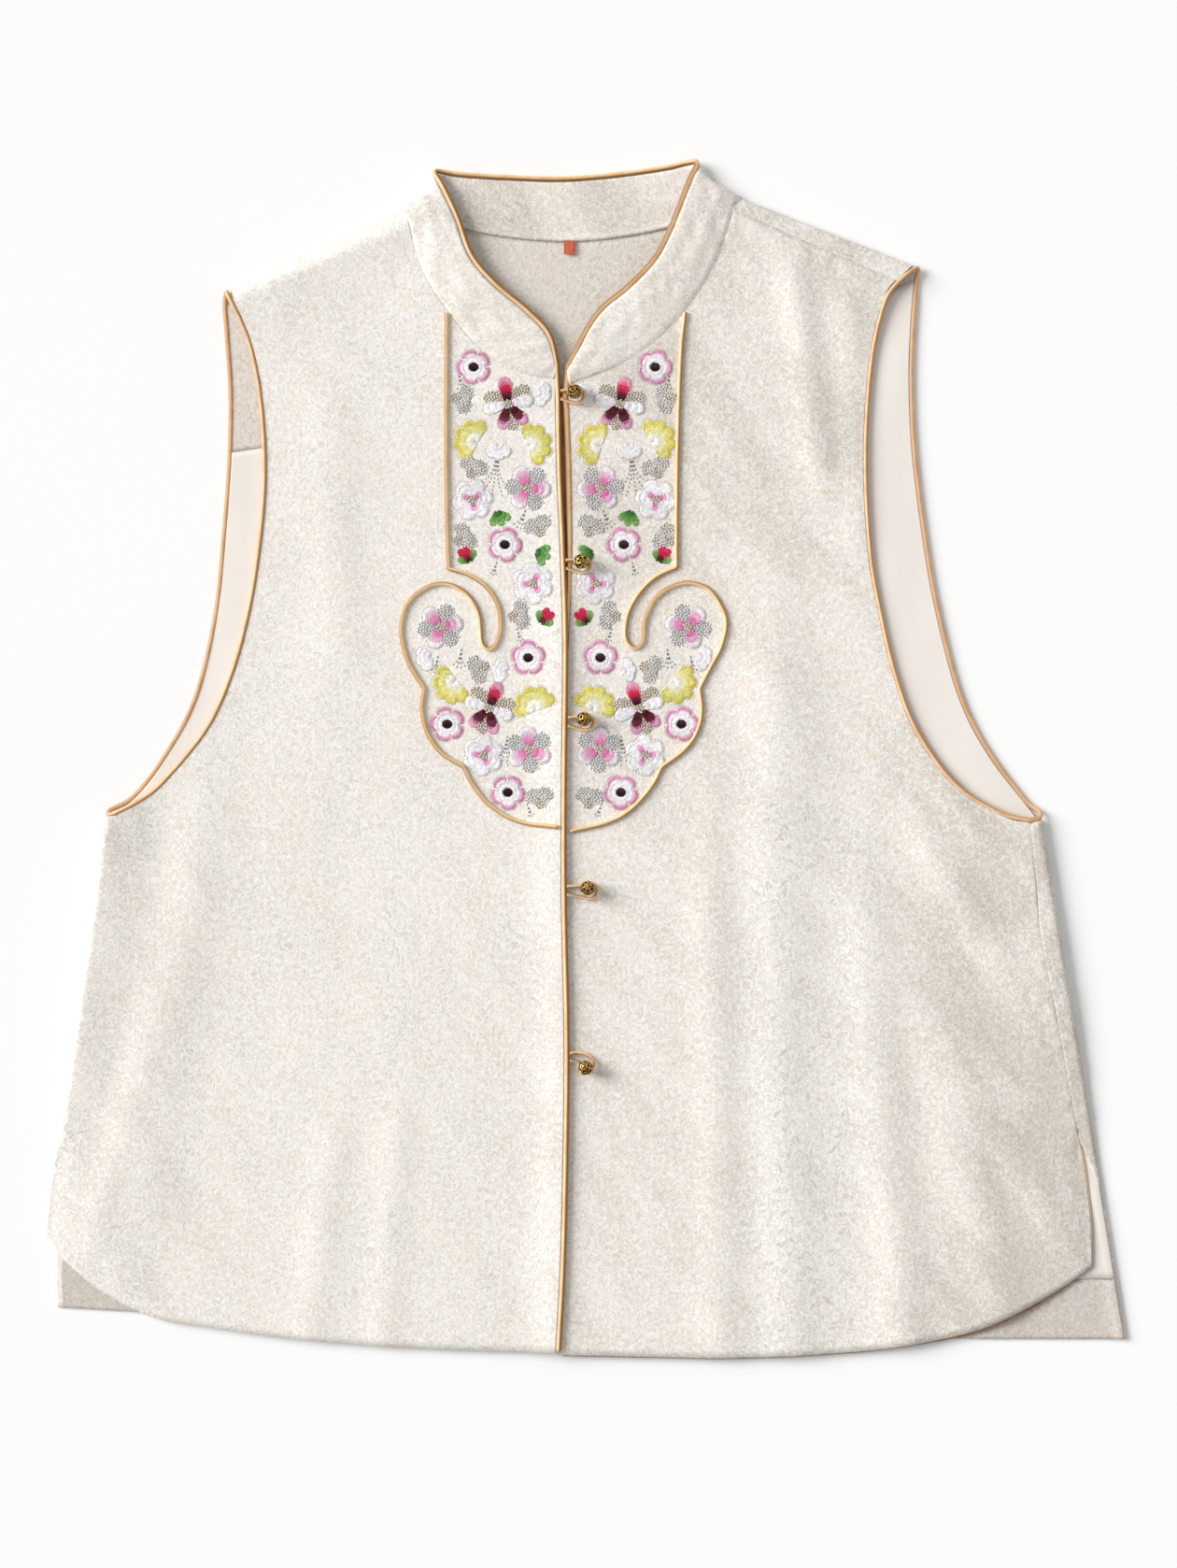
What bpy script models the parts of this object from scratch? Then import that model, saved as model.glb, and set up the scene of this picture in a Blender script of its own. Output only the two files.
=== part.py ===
"""An embroidered waistcoat laid flat on a table, front up.

Frame: +Z up, the cloth lies on z = 0, +Y runs from the hem to the collar, +X is the wearer's left.
All sizes below are millimetres; MM turns them into Blender's metres.
"""

import math

import bmesh
import bpy
import numpy as np

MM = 0.001

# ---------------------------------------------------------------- cloth and trim sizes
PANEL_THICKNESS = 1.0
COLLAR_THICKNESS = 1.6
LABEL_SIZE = (5.3, 6.8, 0.6)
SEAM_GAP = 0.3
EDGE_PIPING_RADIUS = 1.4
ARM_PIPING_RADIUS = 1.15
PLAQUE_CORD_RADIUS = 1.15
LOOP_RADIUS = 0.85
BUTTON_RADIUS = 4.2
SHANK_RADIUS = 1.2
SHANK_HEIGHT = 2.2
LOOP_LIFT = 1.3
LOOP_REACH = 2.6
LOOP_SLACK = 1.05
LOOP_SLACK_FROM = math.radians(25)
LOOP_LEGS_Y = (0.6, -3.0)
LOOP_TURN_DEGREES = (165, -110, -25)
LOOP_RETURN = (-3.2, -4.6, 0.4)
LONG_LOOP = 7.0

# heights of the middle of each layer above the table
BACK_Z = 0.5
LINING_Z = 1.8
FRONT_Z = 3.4
ARM_PIPING_BACK_Z = 1.2
FOLD_RADIUS = 2.6
FOLD_TOP_Z = BACK_Z + 2 * FOLD_RADIUS
FOLD_SETTLE = 24.0

# how high the front edges ride: side by side at the top, the right lapped over the left lower down
EDGE_Z = 4.1
LAP_Z = 6.4
LAP_FROM_Y = 150.0
LAP_FULL_Y = 62.0
EDGE_SETTLE = 13.0
NECK_Z = 4.3
NECK_SETTLE = 16.0

# where along Y the side folds and the shaped edges begin and end
SIDE_CURL_Y = (-200.0, -192.5)
SIDE_LIFT_Y = (-262.0, -192.0)
SIDE_LIFT_ENDS_Y = (-40.0, 60.0)
EDGE_LIFT_ENDS_Y = (190.0, 215.0)
SIDE_FOLDS_BELOW_Y = -20.0
SHOULDER_FOLDS_ABOVE_Y = 150.0

# how far from the neck, the shoulder fold and the front edge the soft folds die out
QUIET_NECK = 20.0
QUIET_SHOULDER = 16.0
QUIET_EDGE = 25.0

# ---------------------------------------------------------------- the pattern, as it lies
# each list runs from the hem upwards, or from the wearer's right to left; columns are x, y
BACK_HEM = ((-271.7, -281.5), (-150.0, -288.0), (0.0, -293.8), (150.0, -297.0), (276.5, -297.4))
BACK_SLIT_RIGHT = ((-271.7, -281.5), (-272.2, -258.0), (-271.0, -224.4), (-269.8, -200.0))
BACK_SLIT_LEFT = ((276.5, -297.4), (273.6, -272.4), (266.9, -229.2), (261.6, -200.0))
SIDE_FOLD_RIGHT = ((-269.8, -191.8), (-246.7, -30.0))
SIDE_FOLD_LEFT = ((259.9, -191.8), (233.6, -33.0))
SIDE_SEAM_LEFT = ((252.0, -191.8), (245.8, -157.2), (239.0, -122.2), (232.3, -85.2), (227.8, -33.0))
ARM_BACK_RIGHT = (
    (-244.0, -27.0), (-218.4, 0.7), (-202.1, 31.0), (-191.0, 73.2), (-186.2, 116.4),
    (-183.4, 154.8), (-182.9, 188.4), (-184.8, 217.2), (-186.2, 237.4),
)
ARM_BACK_LEFT = (
    (231.0, -28.5), (207.4, 2.2), (192.0, 32.4), (181.0, 73.2), (174.7, 106.8),
    (168.5, 154.8), (166.6, 193.2), (167.5, 222.0), (169.6, 248.8),
)
ARM_FRONT_RIGHT = (
    (-241.9, -28.1), (-219.4, -13.7), (-195.4, 15.1), (-182.4, 43.4), (-174.2, 72.7), (-169.0, 102.0),
    (-165.6, 135.6), (-165.6, 164.4), (-168.5, 193.2), (-174.2, 217.2), (-183.6, 237.4),
)
ARM_FRONT_LEFT = (
    (229.0, -30.6), (214.6, -27.1), (189.1, -12.7), (169.0, 15.1), (158.4, 43.4), (150.7, 75.6),
    (145.4, 106.8), (143.0, 150.0), (144.5, 188.4), (148.3, 217.2), (155.0, 239.0), (163.2, 247.6),
)
SHOULDER_FOLD_RIGHT = ((-92.2, 283.4), (-184.8, 239.3))
SHOULDER_FOLD_LEFT = ((76.8, 288.0), (169.9, 251.8))
SHOULDER_SEAM_DEPTH_LEFT = (4.0, 8.5)
SHOULDER_SEAM_ENDS = (0.012, 0.982)
ARM_SEAM_SHARE_LEFT = 0.979
NECK_FLAP_SHIFT_LEFT = (4.2, 0.0)
FLAP_RUN_LEFT = (-0.05, 1.0)
BACK_NECK = (
    (-91.5, 282.6), (-75.8, 275.8), (-59.5, 272.0), (-9.1, 266.8), (43.2, 273.4), (61.0, 279.4),
    (76.0, 287.0),
)
FRONT_HEM_RIGHT = (
    (-14.4, -304.1), (-61.4, -303.1), (-109.4, -300.7), (-157.4, -296.4), (-195.8, -291.1),
    (-222.2, -286.3), (-248.6, -272.9), (-267.8, -257.0), (-277.4, -244.6),
)
FRONT_HEM_LEFT = (
    (-12.5, -305.5), (34.6, -306.5), (73.0, -307.0), (111.4, -305.5), (149.8, -302.6),
    (193.0, -295.0), (217.0, -285.8), (241.0, -272.9), (259.2, -260.4),
)
FRONT_SLIT_RIGHT = ((-277.4, -244.6), (-274.6, -217.2), (-270.4, -193.0))
FRONT_SLIT_LEFT = ((259.2, -260.4), (258.2, -234.0), (255.4, -207.6), (252.2, -193.0))
EDGE_RIGHT = (
    (-14.4, -303.0), (-12.0, -258.0), (-10.6, -200.4), (-10.1, -142.8), (-11.5, -70.8), (-11.5, -13.2),
    (-10.8, 58.8), (-12.2, 106.8), (-14.0, 150.0), (-14.6, 186.0),
)
EDGE_LEFT = (
    (-16.8, -303.6), (-14.6, -258.0), (-13.4, -200.4), (-13.2, -142.8), (-14.4, -70.8), (-14.0, -13.2),
    (-10.9, 58.8), (-8.9, 102.0), (-9.3, 145.2), (-10.2, 174.0), (-11.0, 186.0),
)

# the collar: where it joins the neck, and its upper edge, both with their heights; columns are the
# seam's x, y, z and the upper edge's x, y, z
COLLAR_SECTIONS = (
    (-16.6, 195.4, 4.6, -14.9, 200.4, 5.2),
    (-31.2, 197.5, 4.6, -19.0, 217.0, 6.6),
    (-48.5, 205.7, 4.6, -29.8, 229.2, 8.4),
    (-63.4, 220.1, 4.6, -47.0, 243.6, 10.2),
    (-80.2, 243.6, 4.8, -59.0, 258.0, 11.2),
    (-87.5, 262.0, 5.2, -66.2, 277.2, 11.0),
    (-91.6, 277.5, 5.4, -73.6, 293.0, 9.4),
    (-93.6, 283.4, 3.2, -77.8, 300.8, 5.6),
    (-88.0, 281.6, 1.3, -72.0, 301.0, 2.2),
    (-75.8, 276.2, 1.2, -62.0, 299.9, 1.6),
    (-44.0, 269.6, 1.2, -40.0, 298.6, 1.6),
    (-9.1, 267.0, 1.2, -13.4, 297.8, 1.6),
    (26.0, 270.6, 1.2, 14.0, 299.8, 1.6),
    (58.0, 278.6, 1.2, 40.0, 303.4, 1.6),
    (71.0, 285.0, 1.3, 50.5, 305.8, 2.2),
    (78.2, 288.4, 3.2, 56.6, 305.6, 5.6),
    (75.0, 281.5, 5.4, 53.4, 298.0, 9.4),
    (71.5, 269.0, 5.2, 50.4, 290.6, 11.0),
    (62.9, 249.4, 4.8, 43.2, 272.4, 11.2),
    (50.9, 230.6, 4.6, 34.6, 256.0, 10.2),
    (34.6, 213.8, 4.6, 21.0, 241.8, 8.4),
    (16.3, 201.8, 4.6, 4.7, 227.4, 6.6),
    (-6.0, 193.2, 4.6, -10.3, 200.4, 5.2),
)

# the jacquard facing inside the back, and the lining below it
FACING_EDGE = ((-181.6, 164.0), (-90.0, 176.0), (0.0, 188.0), (90.0, 210.0), (165.4, 236.0))
HEM_FACING_DEPTH = 27.0
LINING_INSET = 5.0
LINING_SLIT_INSET = 8.0
FOLD_INSET = FOLD_RADIUS + 2.2
NECK_INSET = 0.6
HEM_INSET = 1.0

# the cord that outlines the embroidered plaque, from the neck seam round to the front edge
PLAQUE_RIGHT = (
    (-72.0, 222.0), (-72.0, 159.6), (-71.6, 121.2), (-70.8, 97.6), (-61.4, 94.8), (-51.8, 88.6),
    (-45.6, 79.0), (-44.2, 68.4), (-46.1, 59.8), (-49.9, 56.4), (-53.8, 59.8), (-55.2, 73.2),
    (-60.0, 82.8), (-68.6, 89.0), (-78.2, 89.5), (-87.8, 84.2), (-93.6, 75.6), (-95.0, 63.6),
    (-91.2, 49.2), (-83.4, 36.4), (-84.5, 25.2), (-81.6, 13.2), (-74.4, 3.1), (-63.4, -3.8),
    (-57.6, -14.2), (-49.4, -23.8), (-35.0, -31.9), (-14.6, -34.8),
)
PLAQUE_LEFT = (
    (49.0, 219.6), (47.6, 206.0), (46.6, 159.6), (46.1, 116.4), (46.1, 98.4), (36.0, 93.8), (27.8, 86.2),
    (21.6, 75.6), (19.7, 64.6), (21.6, 58.8), (25.4, 56.9), (28.8, 60.7), (29.8, 70.8), (34.6, 81.4),
    (41.8, 87.6), (52.3, 90.5), (62.4, 87.1), (69.1, 78.0), (71.5, 69.4), (69.1, 57.8), (63.4, 46.8),
    (57.9, 36.2), (59.0, 24.2), (56.2, 13.2), (49.4, 4.1), (38.6, -3.8), (33.1, -14.2), (22.6, -25.7),
    (10.6, -32.4), (-8.4, -37.0),
)
PLAQUE_CORNERS_RIGHT = (3, 19, 23)
PLAQUE_CORNERS_LEFT = (4, 21, 25)

# ball buttons: x, y of each
BUTTONS = ((-6.2, 187.8), (-2.9, 101.0), (-1.4, 20.4), (0.5, -66.0), (-0.5, -157.7))
LABEL_AT = (-8.9, 262.4)

# soft folds of the fronts: x, y at both ends, half width, height
FRONT_FOLDS = (
    (58.0, -40.0, 76.0, -290.0, 13.0, 1.6),
    (118.0, -70.0, 140.0, -296.0, 15.0, 1.8),
    (176.0, -60.0, 222.0, -270.0, 15.0, 2.0),
    (176.0, -140.0, 248.0, -235.0, 10.0, 1.4),
    (112.0, 250.0, 128.0, 150.0, 12.0, 1.2),
    (96.0, 60.0, 110.0, -60.0, 16.0, 1.0),
    (-96.0, -170.0, -104.0, -298.0, 9.0, 1.4),
    (-128.0, -180.0, -142.0, -294.0, 11.0, 1.2),
    (-132.0, 190.0, -128.0, 60.0, 16.0, 1.0),
    (-200.0, -60.0, -226.0, -240.0, 18.0, 1.2),
)


# ---------------------------------------------------------------- curves and heights
def smoothstep(low, high, value):
    t = np.clip((value - low) / (high - low), 0.0, 1.0)
    return t * t * (3 - 2 * t)


class Curve:
    """A smooth line through points, read by the share of its length from 0 to 1."""

    def __init__(self, points, corners=()):
        points = np.array(points, dtype=float)
        ends = [0, *corners, len(points) - 1]
        runs = [self.smooth(points[a : b + 1]) for a, b in zip(ends, ends[1:])]
        self.line = np.vstack([run[:-1] for run in runs] + [runs[-1][-1:]])
        steps = np.linalg.norm(np.diff(self.line, axis=0), axis=1)
        self.length = steps.sum()
        self.share = np.concatenate(([0.0], np.cumsum(steps))) / self.length

    @staticmethod
    def smooth(points, per_span=12):
        if len(points) < 3:
            return np.linspace(points[0], points[-1], per_span + 1)
        padded = np.vstack((2 * points[0] - points[1], points, 2 * points[-1] - points[-2]))
        run = []
        for a, b, c, d in zip(padded, padded[1:], padded[2:], padded[3:]):
            for t in np.arange(per_span) / per_span:
                pull = (c - a) * t + (2 * a - 5 * b + 4 * c - d) * t**2 + (3 * b - a - 3 * c + d) * t**3
                run.append(b + 0.5 * pull)
        return np.vstack((run, points[-1:]))

    def __call__(self, share):
        share = np.clip(share, 0.0, 1.0)
        return np.array([np.interp(share, self.share, column) for column in self.line.T])

    def slope(self, share, step=0.004):
        run = self(min(share + step, 1.0))[:2] - self(max(share - step, 0.0))[:2]
        return run / np.linalg.norm(run)

    def beside(self, share, distance):
        """The point that lies to the left of the curve's run by a distance."""
        run = self.slope(share)
        point = self(share)
        point[:2] += distance * np.array((-run[1], run[0]))
        return point


def along(line, at):
    """The point of a two-point line at a share of its length."""
    return np.array(line[0], dtype=float) * (1 - at) + np.array(line[1], dtype=float) * at


def past_line(line, x, y):
    """How far a point lies to the left of a two-point line's run."""
    (x0, y0), (x1, y1) = line
    length = math.hypot(x1 - x0, y1 - y0)
    return ((x1 - x0) * (y - y0) - (y1 - y0) * (x - x0)) / length


def past_side(line, x, y):
    """How far a point lies outside a side fold, which runs from slit to underarm."""
    return past_line(line, x, y) * (1 if line is SIDE_FOLD_RIGHT else -1)


def past_shoulder(line, x, y):
    """How far a point lies outside a shoulder fold, which runs from neck to arm."""
    return past_line(line, x, y) * (-1 if line is SHOULDER_FOLD_RIGHT else 1)


SIDES = {
    "right": {
        "side": SIDE_FOLD_RIGHT, "shoulder": SHOULDER_FOLD_RIGHT, "edge": Curve(EDGE_RIGHT),
        "arm_front": Curve(ARM_FRONT_RIGHT), "arm_back": Curve(ARM_BACK_RIGHT), "out": -1,
    },
    "left": {
        "side": SIDE_FOLD_LEFT, "shoulder": SHOULDER_FOLD_LEFT, "edge": Curve(EDGE_LEFT),
        "arm_front": Curve(ARM_FRONT_LEFT), "arm_back": Curve(ARM_BACK_LEFT), "out": 1,
    },
}
NECK_SEAM = Curve([row[:3] for row in COLLAR_SECTIONS])
COLLAR_TOP = Curve([row[3:] for row in COLLAR_SECTIONS])


def edge_x(side, y):
    line = SIDES[side]["edge"].line
    return float(np.interp(y, line[:, 1], line[:, 0]))


def edge_height(side, y):
    """Height of a front edge: the right one climbs over the left one below the second button."""
    lift = LAP_Z - EDGE_Z if side == "right" else 0.0
    return EDGE_Z + lift * (1 - float(smoothstep(LAP_FULL_Y, LAP_FROM_Y, y)))


def fold_height(x, y):
    """The soft folds: ridges that fade at both ends."""
    height = 0.0
    for x0, y0, x1, y1, half_width, ridge in FRONT_FOLDS:
        run = np.array((x1 - x0, y1 - y0))
        share = ((x - x0) * run[0] + (y - y0) * run[1]) / run.dot(run)
        across = past_line(((x0, y0), (x1, y1)), x, y) / half_width
        ends = float(smoothstep(-0.25, 0.25, share) * (1 - smoothstep(0.95, 1.3, share)))
        height += ridge * ends * math.exp(-across * across)
    return height


def front_height(side, x, y):
    """Height of the middle of a front panel: it settles from its folded and bound edges onto the lining."""
    here = SIDES[side]
    below_slit = float(smoothstep(*SIDE_LIFT_Y, y))
    above_arm = 1 - float(smoothstep(*SIDE_LIFT_ENDS_Y, y))
    inside_side = max(0.0, -past_side(here["side"], x, y))
    inside_shoulder = max(0.0, -past_shoulder(here["shoulder"], x, y))
    side_lift = math.exp(-((inside_side / FOLD_SETTLE) ** 2)) * below_slit * above_arm
    shoulder_lift = math.exp(-((inside_shoulder / FOLD_SETTLE) ** 2))
    lift = (FOLD_TOP_Z - FRONT_Z) * max(side_lift, shoulder_lift)
    from_edge = abs(x - edge_x(side, y))
    edge_lift = (edge_height(side, y) - FRONT_Z) * math.exp(-((from_edge / EDGE_SETTLE) ** 2))
    edge_lift *= 1 - float(smoothstep(*EDGE_LIFT_ENDS_Y, y))
    neck_gap = np.linalg.norm(NECK_SEAM.line[:, :2] - (x, y), axis=1).min()
    neck_lift = (NECK_Z - FRONT_Z) * math.exp(-((neck_gap / NECK_SETTLE) ** 2))
    quiet = min(1.0, neck_gap / QUIET_NECK, inside_shoulder / QUIET_SHOULDER)
    quiet *= min(1.0, from_edge / QUIET_EDGE)
    quiet *= 1 - side_lift * 0.8
    return FRONT_Z + max(lift, edge_lift, neck_lift) + fold_height(x, y) * quiet


def turn_over(past, curl, up):
    """Where a point ends up when the cloth bends round a fold: its reach past the fold and its rise.

    past is how far the unfolded point lies beyond the fold's outermost line, curl is 1 for a full
    turn and 0 for flat cloth, and up is 1 for a back that curls up and -1 for a front that curls down.
    """
    run = past + FOLD_RADIUS
    if run <= 0 or curl < 0.01:
        return past, 0.0
    bend = curl / FOLD_RADIUS
    arc = min(run, math.pi * FOLD_RADIUS)
    reach = math.sin(bend * arc) / bend
    rise = (1 - math.cos(bend * arc)) / bend
    reach += (run - arc) * math.cos(bend * arc)
    rise += (run - arc) * math.sin(bend * arc)
    return reach - FOLD_RADIUS, up * rise


def bend_round(point, line, past, curl, up):
    """Moves an unfolded point of a panel to its place on the folded cloth."""
    run = np.array(line[1], dtype=float) - line[0]
    run /= np.linalg.norm(run)
    out = np.array((-run[1], run[0]))
    if out.dot((0.5 * (line[0][0] + line[1][0]), 0.5 * (line[0][1] + line[1][1]))) < 0:
        out = -out
    reach, rise = turn_over(past, curl, up)
    point[:2] += out * (reach - past)
    point[2] += rise
    return point


# ---------------------------------------------------------------- panels
def column_shares(width, edge_steps, middle):
    """Columns of a row: fixed steps from both edges, and shares of what is left between them."""
    reach = edge_steps[-1]
    shares = [step / width for step in edge_steps[:-1]]
    shares += [(reach + (width - 2 * reach) * share) / width for share in middle]
    shares += [1 - step / width for step in edge_steps[-2::-1]]
    return np.array(shares)


def bow(line, left, right, share):
    """How far a hem or top line stands off the straight line between its ends."""
    (x0, _), (x1, _) = left, right
    x = x0 + (x1 - x0) * share
    return line(x) - line(x0) - (line(x1) - line(x0)) * share


def panel(name, rows, edge_steps, middle, hem, top, place, thickness, material):
    """A cloth panel with thickness.

    rows holds each row's two end points, hem and top are the curves of the first and last row as
    heights over x, and place turns an unfolded point into its place. The rows near the hem and the
    last TOP_ROWS rows run beside those curves.
    """
    columns = len(column_shares(500.0, edge_steps, middle))
    last = len(rows) - 1
    hem_reach = min(HEM_ROWS, last)
    top_from, top_full = (last - 2 * TOP_ROWS, last - TOP_ROWS) if last > 2 * TOP_ROWS else (0, last)
    mesh = bmesh.new()
    bmesh.ops.create_grid(mesh, x_segments=columns - 1, y_segments=last, size=0.5)
    for vertex in mesh.verts:
        column = round((vertex.co.x + 0.5) * (columns - 1))
        row = round((vertex.co.y + 0.5) * last)
        left, right = (np.array(p[:2], dtype=float) for p in rows[row])
        share = column_shares(np.linalg.norm(right - left), edge_steps, middle)[column]
        x, y = left * (1 - share) + right * share
        y += bow(hem, rows[0][0][:2], rows[0][1][:2], share) * max(0.0, 1 - row / hem_reach) ** 1.5
        y += bow(top, rows[-1][0][:2], rows[-1][1][:2], share) * smoothstep(top_from, top_full, row)
        vertex.co = [value * MM for value in place(x, y)]
    data = bpy.data.meshes.new(name)
    mesh.to_mesh(data)
    mesh.free()
    cloth = bpy.data.objects.new(name, data)
    wall = cloth.modifiers.new("thickness", "SOLIDIFY")
    wall.thickness = thickness * MM
    wall.offset = 0.0
    wall.use_quality_normals = True
    return finish(cloth, material)


def finish(piece, material):
    piece.data.materials.append(material)
    bpy.context.scene.collection.objects.link(piece)
    return piece


def plain_material(name, colour, roughness, metallic=0.0):
    material = bpy.data.materials.new(name)
    material.use_nodes = True
    shader = material.node_tree.nodes["Principled BSDF"]
    shader.inputs["Base Color"].default_value = (*colour, 1.0)
    shader.inputs["Roughness"].default_value = roughness
    shader.inputs["Metallic"].default_value = metallic
    return material


def height_over(points):
    """A hem or top line as a function of x."""
    line = Curve(points).line
    line = line[np.argsort(line[:, 0])]
    return lambda x: float(np.interp(x, line[:, 0], line[:, 1]))


HEM_ROWS = 6
TOP_ROWS = 5
BACK_STEPS = (0.0, 1.5, 3.5, 6.0, 9.0, 12.5, 17.0)
FRONT_STEPS = (0.0, 1.5, 3.5, 6.0, 9.0, 13.5)
WIDE_MIDDLE = (0, 0.08, 0.16, 0.2386, 0.3, 0.37, 0.44, 0.5, 0.57, 0.63, 0.7, 0.765, 0.785, 0.86, 0.93, 1)
HALF_MIDDLE = (0, 0.12, 0.25, 0.38, 0.5, 0.62, 0.75, 0.88, 1)
FLAT_STEPS = (0.0, 20.0)
SEAM_TURN = (math.pi / 2 - 1) * FOLD_RADIUS - SEAM_GAP
BACK_ARM_INSET = ARM_PIPING_RADIUS + SEAM_GAP + 0.6
FRONT_NECK_INSET = SEAM_GAP + 0.8

# shares along each edge at which a panel has its rows
BACK_SLIT_ROWS = (0.0, 0.3, 0.6, 0.85, 1.0)
BACK_SIDE_ROWS = (0.0, 0.04, 0.2, 0.4, 0.6, 0.8, 0.95, 0.985)
BACK_ARM_ROWS = (0.02, 0.06, 0.12, 0.2, 0.28, 0.37, 0.46, 0.56, 0.67, 0.78, 0.88, 0.93, 0.97, 1.0)
BACK_FLAP_ROWS = (0.35, 0.7, 1.0)
FRONT_SLIT_ROWS = (0.0, 0.35, 0.7, 1.0)
FRONT_SIDE_ROWS = (0.03, 0.2, 0.4, 0.6, 0.8, 0.97)
FRONT_ARM_ROWS = (0.05, 0.1, 0.15, 0.21, 0.28, 0.37, 0.48, 0.6)
FRONT_NECK_ROWS = (0.0, 0.14, 0.28, 0.42, 0.56, 0.7, 0.84, 0.93)
NECK_ROWS_FROM = 0.72

# heights on the front edge level with the slit's top, the underarm and the foot of the collar
FRONT_SLIT_TOP_Y = -196.0
FRONT_ARM_Y = -36.0
FRONT_NECK_Y = 190.0
FRONT_ARM_AT_NECK = 0.7

# shares of the slits, of the side folds and of the right and left armholes for the inner layers
HEM_FACING_ROWS = (0.0, 0.16, 0.32)
LINING_SLIT_ROWS = (0.33, 0.6, 0.85, 1.0)
LINING_SIDE_ROWS = (0.1, 0.3, 0.5, 0.7, 0.84)
LINING_ARM_ROWS = (0.15, 0.21, 0.28, 0.35, 0.45, 0.56, 0.69, 0.84, 1.0)
LINING_ARM_ENDS = (0.715, 0.925)
NECK_FACING_ROWS = ((0.716, 0.926), (0.8, 0.945), (0.9, 0.965), (0.985, 0.985))
NECK_FACING_SHOULDER = (1.0, 0.12)


def seam_past_left(y):
    """How far the unfolded back runs past the left side fold, to reach the seam on the front."""
    x = float(np.interp(y, *np.array(SIDE_SEAM_LEFT).T[::-1]))
    return (math.pi - 1) * FOLD_RADIUS - past_side(SIDE_FOLD_LEFT, x, y) - FOLD_RADIUS - SEAM_GAP


def outward(line):
    run = np.array(line[1], dtype=float) - line[0]
    out = np.array((-run[1], run[0])) / np.linalg.norm(run)
    return out if out.dot(np.array(line[0], dtype=float) + line[1]) > 0 else -out


def back_rows():
    rows = []
    slit_right, slit_left = Curve(BACK_SLIT_RIGHT), Curve(BACK_SLIT_LEFT)
    rows += [(slit_right(t), slit_left(t)) for t in BACK_SLIT_ROWS]
    for t in BACK_SIDE_ROWS:
        right = along(SIDE_FOLD_RIGHT, t)
        left = along(SIDE_FOLD_LEFT, t)
        right += outward(SIDE_FOLD_RIGHT) * SEAM_TURN
        left += outward(SIDE_FOLD_LEFT) * seam_past_left(left[1])
        rows.append((right, left))
    arm_right, arm_left = SIDES["right"]["arm_back"], SIDES["left"]["arm_back"]
    for t in BACK_ARM_ROWS:
        rows.append((arm_right.beside(t, -BACK_ARM_INSET), arm_left.beside(t, BACK_ARM_INSET)))
    right, left = rows[-1]
    reach = (math.pi - 1) * FOLD_RADIUS + SHOULDER_SEAM_DEPTH_LEFT[1]
    flap_run = np.array(FLAP_RUN_LEFT) / np.dot(FLAP_RUN_LEFT, outward(SHOULDER_FOLD_LEFT))
    for t in BACK_FLAP_ROWS:
        rows.append((right + outward(SHOULDER_FOLD_RIGHT) * SEAM_TURN * t, left + flap_run * reach * t))
    return rows


def back_top():
    """The back's upper edge, unfolded: shoulder, neck, shoulder."""
    right_out, left_out = outward(SHOULDER_FOLD_RIGHT), outward(SHOULDER_FOLD_LEFT)
    turn = (math.pi - 1) * FOLD_RADIUS
    right_neck = np.array(BACK_NECK[0]) + right_out * SEAM_TURN
    left_neck = np.array(BACK_NECK[-1]) + left_out * (turn + SHOULDER_SEAM_DEPTH_LEFT[0])
    left_neck += NECK_FLAP_SHIFT_LEFT
    right_tip = along(SHOULDER_FOLD_RIGHT, 1.0) + right_out * SEAM_TURN
    left_tip = along(SHOULDER_FOLD_LEFT, 1.0) + left_out * (turn + SHOULDER_SEAM_DEPTH_LEFT[1])
    neck = [(x, y - NECK_INSET) for x, y in BACK_NECK]
    return height_over_parts((right_tip, right_neck), neck, (left_neck, left_tip))


def height_over_parts(*parts):
    lines = [Curve(part).line for part in parts]
    line = np.vstack(lines)
    line = line[np.argsort(line[:, 0], kind="stable")]
    return lambda x: float(np.interp(x, line[:, 0], line[:, 1]))


def place_back(x, y):
    point = np.array((x, y, BACK_Z))
    curl = float(smoothstep(*SIDE_CURL_Y, y))
    for side in SIDES.values():
        past = past_side(side["side"], x, y)
        if y < 0 and past > -FOLD_RADIUS:
            bend_round(point, side["side"], past, curl, 1)
        past = past_shoulder(side["shoulder"], x, y)
        if y > SHOULDER_FOLDS_ABOVE_Y and past > -FOLD_RADIUS:
            bend_round(point, side["shoulder"], past, 1.0, 1)
    return point


def inner_rows(shares_slit, shares_side, shares_arm):
    """Rows of a layer inside the back, held clear of the folds and of the bound armholes."""
    rows = []
    slit_right, slit_left = Curve(BACK_SLIT_RIGHT), Curve(BACK_SLIT_LEFT)
    for t in shares_slit:
        inset = np.array((LINING_INSET + LINING_SLIT_INSET * t**3, 0.0))
        rows.append((slit_right(t) + inset, slit_left(t) - inset))
    for t in shares_side:
        rows.append(
            (
                along(SIDE_FOLD_RIGHT, t) - outward(SIDE_FOLD_RIGHT) * FOLD_INSET,
                along(SIDE_FOLD_LEFT, t) - outward(SIDE_FOLD_LEFT) * FOLD_INSET,
            )
        )
    arm_right, arm_left = SIDES["right"]["arm_back"], SIDES["left"]["arm_back"]
    for right_share, left_share in shares_arm:
        right = arm_right.beside(right_share, -BACK_ARM_INSET)
        rows.append((right, arm_left.beside(left_share, BACK_ARM_INSET)))
    return rows


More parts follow.
